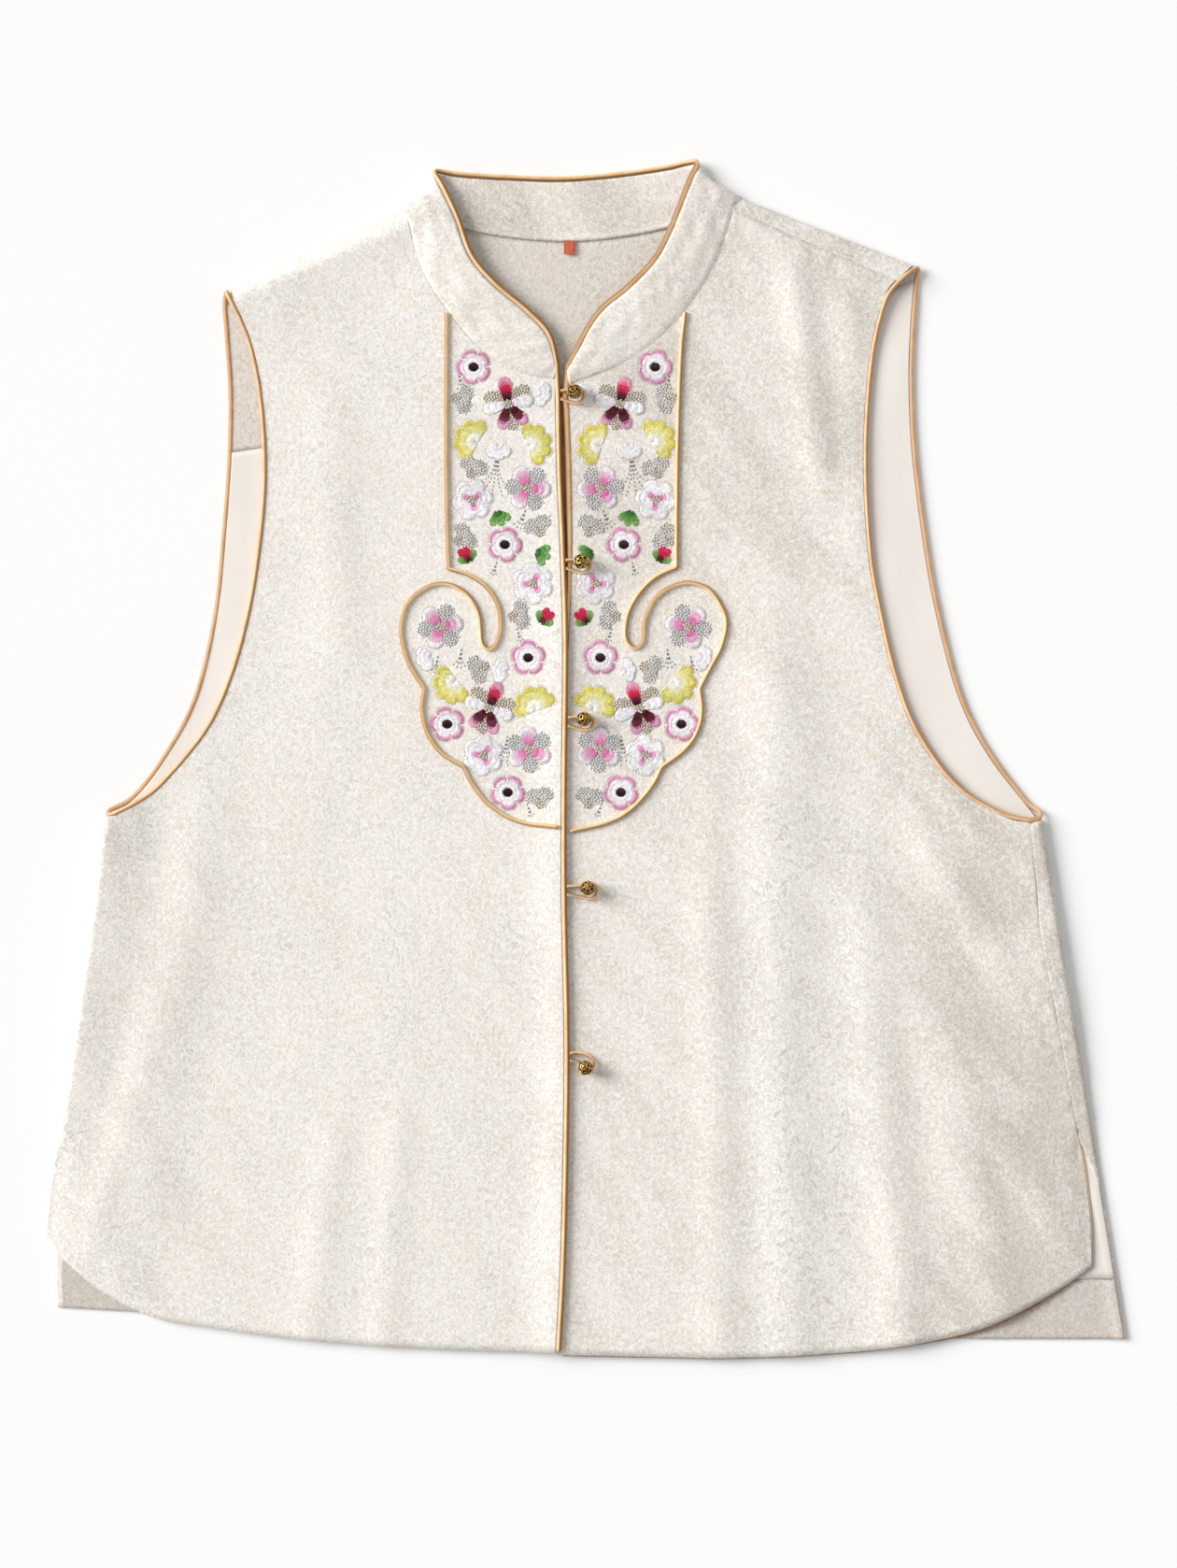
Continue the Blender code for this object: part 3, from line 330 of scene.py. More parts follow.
def pucker(x, y):
    """Soft puckers across the left side seam, strongest towards the slit."""
    gap = Line(SIDE_SEAM_LEFT).width(y) - x
    near = np.exp(-((gap / 9.0) ** 2)) * (1 - smoothstep(-50.0, -20.0, y)) * smoothstep(-205.0, -190.0, y)
    return 0.95 * near * (0.3 + 0.7 * smoothstep(-80.0, -150.0, y)) * wave(x * 0.5, y, 4.2, 8.0)


def place_back(x, y):
    """The back lies on the table, bends up at both sides and turns over at both shoulders."""
    low = wave(x, y, 46.0, 3.0) * 0.25 * smoothstep(270, 230, np.abs(x))
    points = np.stack((x, y, BACK_Z + np.maximum(low, 0.0)), -1)
    rise = 1 - SETTLE * settled(y)
    turn_round(points, SIDE_FOLD_RIGHT, smoothstep(*SLIT_CURL, y), rise, (y < 0) & (x < 0))
    turn_round(points, SIDE_FOLD_LEFT, 1.0, 1, (y < 0) & (x > 0), left_radius(y))
    for hand in (-1, 1):
        turn_round(points, shoulder_fold[hand], 1.0, 1, (y > 150) & (x * hand > 0))
    under = smoothstep(-0.2, 1.6, beyond_seam(points[:, 0], points[:, 1]))
    top = smoothstep(2.3, 2.8, points[:, 2])
    points[:, 2] += (pucker(points[:, 0], points[:, 1]) - SEAM_STEP * under) * top
    return points


class Value:
    """A number that varies over a surface: a sum or product of values adds its Math nodes."""

    def __init__(self, finish, socket):
        self.finish = finish
        self.socket = socket

    def maths(self, operation, *others):
        return self.finish.node("Math", {"operation": operation}, self, *others)

    def __add__(self, other):
        return self.maths("ADD", other)

    def __sub__(self, other):
        return self.maths("SUBTRACT", other)

    def __rsub__(self, other):
        return self.finish.node("Math", {"operation": "SUBTRACT"}, other, self)

    def __mul__(self, other):
        return self.maths("MULTIPLY", other)

    def __truediv__(self, other):
        return self.maths("DIVIDE", other)

    __radd__ = __add__
    __rmul__ = __mul__

    def steps(self, low, high):
        """0 below low, 1 above high, and a soft rise between."""
        smooth = {"interpolation_type": "SMOOTHSTEP"}
        return self.finish.node("MapRange", smooth, self, low, high)


class Finish:
    """A material in the making: its nodes, and the shader that they feed."""

    def __init__(self, name, **constants):
        self.material = bpy.data.materials.new(name)
        self.material.use_nodes = True
        self.tree = self.material.node_tree
        self.shader = self.tree.nodes["Principled BSDF"]
        for socket, value in constants.items():
            self.set(socket.replace("_", " "), value)

    def join(self, socket, value):
        if isinstance(value, Value):
            self.tree.links.new(value.socket, socket)
        else:
            socket.default_value = value

    def set(self, socket, value):
        self.join(self.shader.inputs[socket], value)

    def node(self, kind, settings, *values, output=0):
        """Adds a node: its type, its settings, and the values of its sockets in order."""
        node = self.tree.nodes.new("ShaderNode" + kind)
        for name, value in settings.items():
            setattr(node, name, value)
        for socket, value in zip(node.inputs, values):
            if value is not None:
                self.join(socket, value)
        return Value(self, node.outputs[output])

    def mix(self, share, first, second, blend="MIX"):
        """A colour between two others."""
        colours = [c if isinstance(c, Value) else (*c, 1.0) for c in (first, second)]
        settings = {"data_type": "RGBA", "blend_type": blend}
        return self.node("Mix", settings, share, *[None] * 5, *colours, output=2)

    def place(self, map_name=None):
        """x, y and z in millimetres: of a piece's own cloth map, or in space."""
        if map_name:
            spot = self.node("UVMap", {"uv_map": map_name})
        else:
            spot = self.node("TexCoord", {}, output=3)
        spot = self.node("VectorMath", {"operation": "SCALE"}, spot, None, None, 1 / MM)
        split = self.tree.nodes.new("ShaderNodeSeparateXYZ")
        self.tree.links.new(spot.socket, split.inputs[0])
        return [Value(self, output) for output in split.outputs]

    def point(self, x, y, z=0.0):
        return self.node("CombineXYZ", {}, x, y, z)

    def noise(self, x, y, size, detail=2.0, z=0.0):
        """Soft unevenness from 0 to 1, with patches of a given size."""
        return self.node("TexNoise", {}, self.point(x / size, y / size, z), None, 1.0, detail)

    def chance(self, *numbers):
        """A random number from 0 to 1 for each set of whole numbers."""
        return self.node("TexWhiteNoise", {}, self.point(*numbers))

    def relief(self, height, depth, strength=1.0):
        """Raises the surface by height times depth, in millimetres."""
        self.set("Normal", self.node("Bump", {}, strength, depth * MM, None, height))


def vine(finish, x, y, pitch, sway, spacing, leaf, seed):
    """Climbing stems side by side, with uneven leaves along both sides: masks of the figure and its rim."""
    length, breadth = leaf
    column = (x / pitch).maths("FLOOR")
    luck = finish.chance(column, seed, 0.0)
    bend = (y * (2 * math.pi / 47.0) + luck * 6.283).maths("SINE") * sway
    bend = bend + (y * (2 * math.pi / 19.0) + luck * 40.0).maths("SINE") * sway * 0.4
    off = x - (column + 0.5) * pitch - bend
    side = off.maths("SIGN")
    stem = 1 - off.maths("ABSOLUTE").steps(0.18, 0.5)
    shifted = y * (luck - 0.5).maths("SIGN") + side * spacing * 0.25 + luck * 90.0
    row = (shifted / spacing).maths("FLOOR")
    own = finish.chance(row, column, side + seed)
    other = finish.chance(column, row, side + seed + 4.0)
    up = shifted - (row + 0.4 + other * 0.2) * spacing
    angle = own * 1.05 + 0.3
    reach = length * (0.72 + other * 0.38)
    across = off.maths("ABSOLUTE") - 0.5
    sine, cosine = angle.maths("SINE"), angle.maths("COSINE")
    up = up + cosine * reach * 0.5
    share = (across * sine + up * cosine) / reach
    curve = (share - 0.5) * (share - 0.5) * (own - 0.5) * 3.0
    aside = (across * cosine - up * sine + curve).maths("ABSOLUTE")
    swell = share * (1 - share) * (2.4 + own * 1.6)
    inside = swell * breadth * 0.5 - aside
    grown = other.steps(0.12, 0.14)
    blade = inside.steps(-0.1, 0.25) * grown
    rim = inside.steps(-0.6, -0.25) * (1 - inside.steps(-0.1, 0.2)) * share.steps(0.0, 0.1) * grown
    return stem.maths("MAXIMUM", blade) * (1 - (1 - aside.steps(0.05, 0.3)) * blade * 0.3), rim


def flecks(finish, x, y, size, seed):
    """Short curved strokes, the broken contour lines of an uneven surface."""
    level = finish.noise(x, y, size, 1.0, z=seed) * 4.4
    line = 1 - (level.maths("FRACT") - 0.5).maths("ABSOLUTE").steps(0.1, 0.34)
    return line * finish.noise(x, y, size * 0.8, 1.0, z=seed + 5.0).steps(0.38, 0.54)


def jacquard(name, shade_tint=(1.0, 1.0, 1.0), sheen_band=None, shade=None, curl=3.4):
    """Cream silk with woven leaf sprays: a bright satin ground, duller leaves and fine broken strokes, with
    painted sheen along a given band and painted shade that dims the colour.
    """
    silk = Finish(name, Specular_IOR_Level=0.35, Sheen_Weight=0.12, Sheen_Roughness=0.45)
    x, y, _ = silk.place("cloth")
    wander = (silk.noise(x, y, 26.0, z=4.0) - 0.5) * 15.0 + (silk.noise(x, y, 7.0, z=5.0) - 0.5) * 3.0
    stray = (silk.noise(x, y, 24.0, z=14.0) - 0.5) * 12.0
    tall, tall_rim = vine(silk, x + wander, y + stray, 15.5, 3.2, 8.4, (7.4, 3.3), 1.0)
    short, short_rim = vine(silk, x - wander + 7.0, y - stray, 11.0, 2.4, 6.2, (4.8, 2.1), 2.0)
    dull = flecks(silk, x + wander * 0.3, y * 0.75, curl * 1.1, 1.0)
    bright = flecks(silk, x, y * 0.85 + stray * 0.3, curl, 2.0)
    fine = silk.noise(x, y, 1.7, 2.0, z=31.0).steps(0.36, 0.64)
    pearl = silk.noise(x, y, 5.0, 4.0, z=9.0).steps(0.34, 0.66)
    # broad patches where the figure shows more clearly and the ground is paler
    clear = silk.noise(x * 1.9, y * 0.75, 42.0, 3.0, z=2.0).steps(0.34, 0.66) * 0.75
    # painted sheen: along the given band the figure stands out and the ground is paler, as where the silk
    # catches the light
    if sheen_band:
        low, high = sheen_band
        clear = clear * 0.5 + x.steps(*low) * (1 - x.steps(*high)) * 0.6 * (1 - y.steps(-60.0, 60.0))
    figure = tall.maths("MAXIMUM", short * 0.55) * (0.3 + 0.7 * clear)
    figure = figure.maths("MAXIMUM", dull * (0.85 - 0.35 * clear))
    shine = (tall_rim * 0.8).maths("MAXIMUM", short_rim * 0.5).maths("MAXIMUM", bright)
    ground = silk.mix(pearl, (0.93, 0.835, 0.735), (0.89, 0.855, 0.80))
    ground = silk.mix(clear * 0.7, ground, (0.90, 0.87, 0.83))
    thread = silk.mix(clear, (0.79, 0.695, 0.585), (0.66, 0.61, 0.535))
    colour = silk.mix(figure * (1 - shine * 0.5), ground, thread)
    colour = silk.mix(fine * 0.3, colour, (0.80, 0.745, 0.67))
    if shade:
        # painted light and shade: broad diagonal bands and the given shade dim the colour and the bright
        # strokes, as light falls over the silk's folds
        bands = silk.noise(x * 0.8 + y * 0.6, (x * 0.6 - y * 0.8) * 0.3, 24.0, 2.0, z=21.0).steps(0.36, 0.62)
        dim = shade(x, y) * (0.45 + 0.55 * bands) + bands * 0.22
        colour = silk.mix(dim, colour, (0.735, 0.725, 0.695), "MULTIPLY")
        shine = shine * (1 - dim * 0.5)
    colour = silk.mix(shine * 0.75, colour, (1.0, 0.985, 0.965))
    # painted shade: a tint that dims the whole piece, darkest for the facings that lie in shade inside
    colour = silk.mix(1.0, colour, shade_tint, "MULTIPLY")
    silk.set("Base Color", colour)
    silk.set("Roughness", 0.46 + figure * 0.14 - shine * 0.08)
    weave = (y * (2 * math.pi / 0.42)).maths("SINE") * (x * (2 * math.pi / 0.36)).maths("SINE")
    silk.relief(figure * 0.6 - shine * 0.25 + weave * 0.14, 0.1, 0.6)
    return silk.material


def back_shade(x, y):
    """Painted shade where the back turns up at the left side and over the left shoulder."""
    shoulder = y.steps(248.0, 262.0) * x.steps(30.0, 70.0) * 0.6
    return x.steps(222.0, 236.0).maths("MAXIMUM", shoulder)


back = cloth("back_panel", back_net, place_back, jacquard("back_jacquard", shade=back_shade))
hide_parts("back")


# Inside the back: a jacquard facing round the neck, a plain silk lining over the rest, and a jacquard
# facing along the hem, all lying on the inside of the back and hemmed to one another by hand. The
# lining stops just short of the slits, so that a narrow turned edge of the back shows beside it.
LINING_CLOTH = 0.45
LINING_Z = 1.45
HEM_FACING = 27.0
SLIT_INSET = 2.3
FOLD_INSET = 4.8
EDGE_LAP = 1.08
FACING_EDGE = ((-181.6, 164.0), (-90.0, 176.0), (0.0, 188.0), (100.0, 222.0), (166.9, 245.5))


def inner_edges(slit_shares, side_shares, arm_shares):
    """Both edges of a layer inside the back, clear of the slits, the folds and the bound armholes."""
    fold_inset = FOLD_INSET - 2.2 * smoothstep(0.9, 0.98, side_shares)
    slit = {-1: Line(BACK_SLIT_RIGHT).at(slit_shares), 1: along(SIDE_FOLD_LEFT, slit_shares * 0.6 - 0.665)}
    slit[-1] += np.stack((SLIT_INSET + 4.6 * slit_shares**3, 0 * slit_shares), -1)
    slit[1] -= outward(SIDE_FOLD_LEFT) * (left_turn(slit[1][:, 1]) - 1.0)[:, None]
    return [
        stack(
            slit[hand],
            along(side_fold[hand], side_shares) - outward(side_fold[hand]) * fold_inset[:, None],
            arm_back[hand].beside(arm_shares[:, max(hand, 0)], hand * ARM_INSET),
        )
        for hand in (-1, 1)
    ]


def lay_inside(name, edges, columns, low, high, lift, ripple, finish):
    """Lays a facing or the lining on the back between two lines."""
    net = rows_between(*edges, columns)
    row = np.arange(len(net))
    bow(net, low, 0, np.maximum(0, 1 - row / (len(net) - 1)) ** 1.5)
    bow(net, high, -1, (row / (len(net) - 1)) ** 1.5)

    def place(x, y):
        rise = ripple * (0.5 + 0.5 * np.sin(x / 7.5 + 2.2 * wave(x, y, 60.0, 7.0)))
        rise = rise * (1 - smoothstep(200.0, 236.0, y)) + 0.3 * ripple * wave(x, y, 17.0, 1.0)
        rise = rise * (1 - 0.8 * smoothstep(236.0, 254.0, x))
        over_edge = smoothstep(-8.0, -2.2, past(SIDE_FOLD_LEFT, x, y)) * smoothstep(-212.0, -224.0, y)
        rise = rise + EDGE_LAP * over_edge
        return np.stack((x, y, LINING_Z + lift + rise), -1)

    piece = cloth(name, net, place, finish, LINING_CLOTH)
    return piece


def plain_silk(name, colour):
    """Thin plain-weave silk: fine threads both ways, soft streaks of painted light and shade, and painted
    shade low down beside the slits.
    """
    silk = Finish(name, Specular_IOR_Level=0.3, Sheen_Weight=0.15, Sheen_Roughness=0.4)
    x, y, _ = silk.place("cloth")
    slubs = silk.noise(x / 9.0, y * 1.6, 1.0, 3.0).steps(0.45, 0.75)
    soft = silk.noise(x * 1.8, y * 0.5, 24.0, 3.0)
    shade = silk.mix(soft, [c * 0.955 for c in colour], [min(1.0, c * 1.03) for c in colour])
    # painted shade: darker low down, where the lining lies in the shade of the slits
    shade = silk.mix(0.9 - y.steps(-230.0, -190.0) * 0.9, shade, [c * 0.83 for c in colour])
    silk.set("Base Color", silk.mix(slubs * 0.3, shade, [c * 0.94 for c in colour]))
    silk.set("Roughness", 0.5 + slubs * 0.12)
    threads = (y * (2 * math.pi / 0.5)).maths("SINE") + (x * (2 * math.pi / 0.45)).maths("SINE")
    silk.relief(threads * 0.3 + slubs, 0.05, 0.5)
    return silk.material


back_hem = Line(BACK_HEM).height
facing_line = Line(FACING_EDGE).height
none = np.zeros(0)
no_arm = np.zeros((0, 2))
# painted shade: both facings are the back's jacquard, dimmed for the shade they lie in inside the waistcoat
hem_silk = jacquard("hem_facing_jacquard", (0.715, 0.69, 0.67))
neck_silk = jacquard("neck_facing_jacquard", (0.835, 0.81, 0.785))
hem_facing = lay_inside(
    "hem_facing_strip", inner_edges(np.linspace(0.0, 0.32, 16), none, no_arm), 150,
    lambda x: back_hem(x) + 0.8, lambda x: back_hem(x) + HEM_FACING - 0.15, -0.1, 0.1, hem_silk,
)
arm_shares = np.linspace(0.008, 1.0, 68)[:, None] * (0.715, 0.9886)
lining = lay_inside(
    "silk_lining",
    inner_edges(np.linspace(0.325, 1.0, 16), np.linspace(0.06, 1.0, 54), arm_shares), 100,
    lambda x: back_hem(x) + HEM_FACING, lambda x: facing_line(x) - 0.15, 0.0, 0.5,
    plain_silk("pale_silk", (0.90, 0.84, 0.775)),
)
neck_shares = np.stack((np.linspace(0.716, 0.985, 30), np.linspace(0.9895, 0.9925, 30)), -1)
shoulder_run = [
    along(shoulder_fold[hand], [1.0, 0.12]) - outward(shoulder_fold[hand]) * FOLD_INSET
    for hand in (-1, 1)
]
facing_top = stack(
    shoulder_run[0], Line(np.subtract(BACK_NECK[1:-1], (0, 0.6))).points, shoulder_run[1][::-1]
)
neck_facing = lay_inside(
    "neck_facing_shape", inner_edges(none, none, neck_shares), 130, facing_line,
    lambda x: np.interp(x, *facing_top.T), -0.2, 0.15, neck_silk,
)
for piece, node in ((hem_facing, "hem_facing"), (lining, "lining"), (neck_facing, "neck_facing")):
    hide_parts(node)
    "lining" if node == "lining" else "jacquard"


# The fronts: two panels of the same jacquard, rounded at the foot. They lie on the lining, lift
# where they meet the folded sides and shoulders, and carry the soft folds of worn silk. The right
# front laps over the left one from the second button down.
FRONT_Z = 3.4
FOLD_TOP_Z = BACK_Z + 2 * FOLD_RADIUS
FOLD_SETTLE = 24.0
EDGE_Z = 4.1
LAP_Z = 6.4
LAP_Y = (62.0, 150.0)
EDGE_SETTLE = 13.0
SEAM_REACH = {-1: 0.0, 1: 9.0}
SLIT_SETTLE = 1.1
NECK_LIFT = (0.9, 16.0)
PIPING_RADIUS = 1.4
FRONT_LEVELS = (-196.0, -36.0)
NECK_LEVEL = {-1: 193.8, 1: 191.2}
FRONT_HEM = {
    -1: (
        (-14.4, -304.1), (-61.4, -303.1), (-109.4, -300.7), (-157.4, -296.4), (-195.8, -291.1),
        (-222.2, -286.3), (-248.6, -272.9), (-267.8, -257.0), (-277.4, -244.6),
    ),
    1: (
        (-12.5, -305.5), (34.6, -306.5), (73.0, -307.0), (111.4, -305.5), (149.8, -302.6),
        (193.0, -295.0), (217.0, -285.8), (241.0, -272.9), (259.2, -260.4),
    ),
}
FRONT_SLIT = {
    -1: ((-277.4, -244.6), (-274.6, -217.2), (-270.4, -193.0)),
    1: ((259.2, -260.4), (258.2, -234.0), (255.4, -207.6), (252.2, -193.0)),
}
ARM_FRONT = {
    -1: (
        (-243.4, -28.6), (-234.2, -24.0), (-219.4, -13.7), (-195.4, 15.1), (-182.4, 43.4), (-174.2, 72.7),
        (-169.0, 102.0), (-165.6, 135.6), (-165.6, 164.4), (-168.5, 193.2), (-174.2, 217.2),
        (-183.6, 237.4),
    ),
    1: (
        (229.0, -31.4), (215.2, -28.7), (190.0, -13.8), (169.4, 14.6), (158.4, 43.4),
        (150.7, 75.6), (145.4, 106.8), (143.0, 150.0), (144.5, 188.4), (148.3, 217.2),
        (155.0, 239.0), (163.2, 247.6),
    ),
}
FRONT_EDGE = {
    -1: (
        (-14.4, -303.0), (-12.0, -258.0), (-10.6, -200.4), (-10.1, -142.8), (-11.5, -70.8),
        (-11.5, -13.2), (-10.8, 58.8), (-12.2, 106.8), (-14.0, 150.0), (-14.6, 186.0),
    ),
    1: (
        (-16.8, -303.6), (-14.6, -258.0), (-13.4, -200.4), (-13.2, -142.8), (-14.4, -70.8),
        (-14.0, -13.2), (-10.9, 58.8), (-8.9, 102.0), (-9.3, 145.2), (-10.2, 174.0),
        (-11.0, 186.0),
    ),
}
# where the collar is sewn on and where its upper edge runs: x, y and height of both
COLLAR = (
    (-15.9, 195.0, 4.6, -14.9, 200.4, 5.2),
    (-31.2, 197.5, 4.6, -19.0, 217.0, 6.6),
    (-48.5, 205.7, 4.6, -29.8, 229.2, 7.2),
    (-63.4, 220.1, 4.6, -47.0, 243.6, 7.8),
    (-80.2, 243.6, 4.8, -59.0, 258.0, 8.2),
    (-87.5, 262.0, 5.2, -66.2, 277.2, 8.4),
    (-91.6, 277.5, 5.4, -73.6, 293.0, 7.6),
    (-93.6, 283.4, 3.2, -77.8, 300.8, 5.6),
    (-88.0, 281.6, 1.3, -72.0, 301.0, 2.2),
    (-75.8, 276.2, 1.2, -62.0, 299.9, 1.6),
    (-44.0, 269.6, 1.2, -40.0, 298.6, 1.6),
    (-9.1, 267.0, 1.2, -13.4, 297.8, 1.6),
    (26.0, 270.6, 1.2, 14.0, 299.8, 1.6),
    (58.0, 278.6, 1.2, 40.0, 303.4, 1.6),
    (71.0, 285.0, 1.3, 50.5, 305.8, 2.2),
    (78.2, 288.4, 3.2, 56.6, 305.6, 5.6),
    (75.0, 281.5, 5.4, 53.4, 298.0, 7.6),
    (71.5, 269.0, 5.2, 50.4, 290.6, 8.4),
    (62.9, 249.4, 4.8, 43.2, 272.4, 8.2),
    (50.9, 230.6, 4.6, 34.6, 256.0, 7.8),
    (34.6, 213.8, 4.6, 21.0, 241.8, 7.2),
    (16.3, 201.8, 4.6, 4.7, 227.4, 6.4),
    (-9.6, 192.0, 4.6, -10.3, 200.4, 5.2),
)
# soft folds: both ends, half width and height
FOLDS = (
    (62.0, -30.0, 70.0, -290.0, 11.0, 1.5),
    (92.0, 40.0, 106.0, -300.0, 14.0, 1.9),
    (140.0, -60.0, 164.0, -296.0, 13.0, 2.2),
    (166.0, -120.0, 246.0, -240.0, 12.0, 2.2),
    (182.0, -180.0, 216.0, -285.0, 11.0, 1.6),
    (176.0, -8.0, 228.0, -66.0, 8.0, 2.3),
    (168.0, -36.0, 214.0, -100.0, 9.0, 2.0),
    (104.0, 262.0, 120.0, 150.0, 9.0, 2.3),
    (134.0, 250.0, 138.0, 120.0, 9.0, 1.0),
    (96.0, 90.0, 116.0, -60.0, 15.0, 1.2),
    (-96.0, -170.0, -104.0, -298.0, 9.0, 0.9),
    (-128.0, -180.0, -142.0, -294.0, 10.0, 1.0),
    (-132.0, 190.0, -128.0, 60.0, 15.0, 1.2),
    (-196.0, -20.0, -232.0, -240.0, 15.0, 1.5),
    (-222.0, -130.0, -252.0, -240.0, 9.0, 1.1),
)
front_edge = {hand: Line(points) for hand, points in FRONT_EDGE.items()}
arm_front = {hand: Line(points) for hand, points in ARM_FRONT.items()}
neck_seam = Line([row[:3] for row in COLLAR])
collar_top = Line([row[3:] for row in COLLAR])


def edge_height(hand, y):
    lift = LAP_Z - EDGE_Z if hand < 0 else 0.0
    return EDGE_Z + lift * (1 - smoothstep(*LAP_Y, y))


def front_height(hand, x, y):
    """Height of the middle of a front, over the lining, the folded sides and its own soft folds."""
    inside_side = np.maximum(0.0, -past(side_fold[hand], x, y) - SEAM_REACH[hand])
    inside_shoulder = np.maximum(0.0, -past(shoulder_fold[hand], x, y) - SEAM_REACH[hand])
    beside_seam = smoothstep(-228.0, -190.0, y) * (1 - smoothstep(-40.0, 60.0, y))
    side_lift = np.exp(-((inside_side / FOLD_SETTLE) ** 2)) * beside_seam
    shoulder_lift = np.exp(-((inside_shoulder / FOLD_SETTLE) ** 2))
    lift = (FOLD_TOP_Z - FRONT_Z) * np.maximum(side_lift * (1 - settled(y)), shoulder_lift)
    from_edge = np.abs(x - front_edge[hand].width(y))
    edge_lift = (edge_height(hand, y) - FRONT_Z) * np.exp(-((from_edge / EDGE_SETTLE) ** 2))
    edge_lift = edge_lift * (1 - smoothstep(190.0, 215.0, y))
    neck_gap = np.min([np.hypot(x - a, y - b) for a, b, _ in neck_seam.points], axis=0)
    neck_lift = NECK_LIFT[0] * np.exp(-((neck_gap / NECK_LIFT[1]) ** 2))
    quiet = np.minimum(1.0, np.minimum(neck_gap / 20, inside_shoulder / 16))
    quiet = quiet * np.minimum(1.0, from_edge / 25) * (1 - 0.8 * side_lift)
    folds = 0.0
    for x0, y0, x1, y1, half_width, ridge in FOLDS:
        run = np.array((x1 - x0, y1 - y0))
        share = ((x - x0) * run[0] + (y - y0) * run[1]) / run.dot(run)
        across = (run[0] * (y - y0) - run[1] * (x - x0)) / np.linalg.norm(run) / half_width
        ends = smoothstep(-0.25, 0.25, share) * (1 - smoothstep(0.95, 1.3, share))
        folds = folds + ridge * ends * np.exp(-across * across)
    return FRONT_Z + np.maximum(lift, np.maximum(edge_lift, neck_lift)) + folds * quiet


def rumples(hand, x, y):
    """Small unevenness of the silk: slight hollows all over, and puckers along the seams."""
    rise = 0.28 * wave(x, y * 0.6, 34.0, 5.0) + 0.1 * wave(x, y, 11.0, 6.0)
    if hand > 0:
        rise = rise + pucker(x, y)
    depth = np.abs(-past(shoulder_fold[hand], x, y) - 12.0 * (hand > 0))
    return rise + 0.12 * np.exp(-((depth / 7.0) ** 2)) * np.sin(x / 1.9)


def place_front(hand):
    def place(x, y):
        points = np.stack((x, y, front_height(hand, x, y) + rumples(hand, x, y)), -1)
        if hand > 0:
            points[:, 2] -= SEAM_DIP * smoothstep(-1.2, 0.0, -np.abs(beyond_seam(x, y)))
        beside_slit = np.exp(-((np.abs(x - Line(FRONT_SLIT[hand]).width(y)) / 7.0) ** 2))
        points[:, 2] -= SLIT_SETTLE * beside_slit * (1 - smoothstep(-205.0, -188.0, y))
        if hand < 0:
            turn = SETTLE * settled(y) - 1
            turn_round(points, SIDE_FOLD_RIGHT, smoothstep(*SLIT_CURL, y), turn, y < -20)
            turn_round(points, SHOULDER_FOLD_RIGHT, 1.0, -1, y > 150)
        return points

    return place


def front_net(hand):
    """A front unfolded: its rows run from the front edge to slit, side, armhole and shoulder."""
    edge, arm = front_edge[hand], arm_front[hand]
    low, under = FRONT_LEVELS
    neck = NECK_LEVEL[hand]
    inset = hand * (PIPING_RADIUS + 0.15)
    arm_end = 1.0 if hand < 0 else 0.986
    slit = np.linspace(0.0, 1.0, 26)
    side = np.linspace(0.02, 1.0, 74)
    lower_arm = np.linspace(0.012, 0.70, 102)
    upper_arm = np.linspace(0.0, 0.97, 44)
    levels = np.concatenate(
        (
            FRONT_HEM[hand][0][1] + (low - FRONT_HEM[hand][0][1]) * slit,
            low + (under - low) * side,
            under + (neck - under) * lower_arm / 0.70,
        )
    )
    front = COLLAR[:7] if hand < 0 else COLLAR[:15:-1]
    neck_edge = Line([row[:2] for row in front])
    if hand < 0:
        seam = along(SIDE_FOLD_RIGHT, side) + outward(SIDE_FOLD_RIGHT) * SEAM_TURN
    else:
        y = SIDE_SEAM_LEFT[0][1] + (SIDE_SEAM_LEFT[-1][1] - SIDE_SEAM_LEFT[0][1]) * side
        seam = np.stack((Line(SIDE_SEAM_LEFT).width(y) - 0.15, y), -1)
    fold = shoulder_fold[hand]
    ends = along(fold, [0.012, 0.982])
    if hand < 0:
        ends = ends + outward(fold) * SEAM_TURN
    else:
        ends[0] -= outward(fold) * (SHOULDER_SEAM_DEPTH[0] + FOLD_RADIUS + 0.15)
        ends[1] = arm.beside(arm_end, hand * ARM_INSET)
    inner = stack(
        np.stack((edge.width(levels) + inset, levels), -1),
        neck_edge.beside(upper_arm, -hand * 0.4),
        ends[0],
    )
    outer = stack(
        Line(FRONT_SLIT[hand]).at(slit),
        seam,
        arm.beside(lower_arm, hand * ARM_INSET),
        arm.beside(0.71 + (arm_end - 0.71) * upper_arm, hand * ARM_INSET),
        ends[1],
    )
    net = rows_between(*((outer, inner) if hand < 0 else (inner, outer)), 124)
    row = np.arange(len(net))
    bow(net, Line(FRONT_HEM[hand]).height, 0, np.maximum(0, 1 - row / 40) ** 1.5)
    return net


# where painted sheen shows on the left front: the x span where the band rises, and the x span where it falls
SHEEN_BAND = {-1: None, 1: ((62.0, 96.0), (120.0, 168.0))}
CURL = {-1: 3.2, 1: 3.5}


def right_shade(x, y):
    """Painted shade under the arm, along the side and low down beside the front edge."""
    underarm = (1 - x.steps(-238.0, -208.0)) * y.steps(-62.0, -30.0) * 0.8
    side = (1 - x.steps(-240.0, -150.0)) * 0.25
    edge = x.steps(-90.0, -30.0) * (1 - y.steps(-120.0, -30.0)) * 0.2
    return underarm + side + edge - 0.08


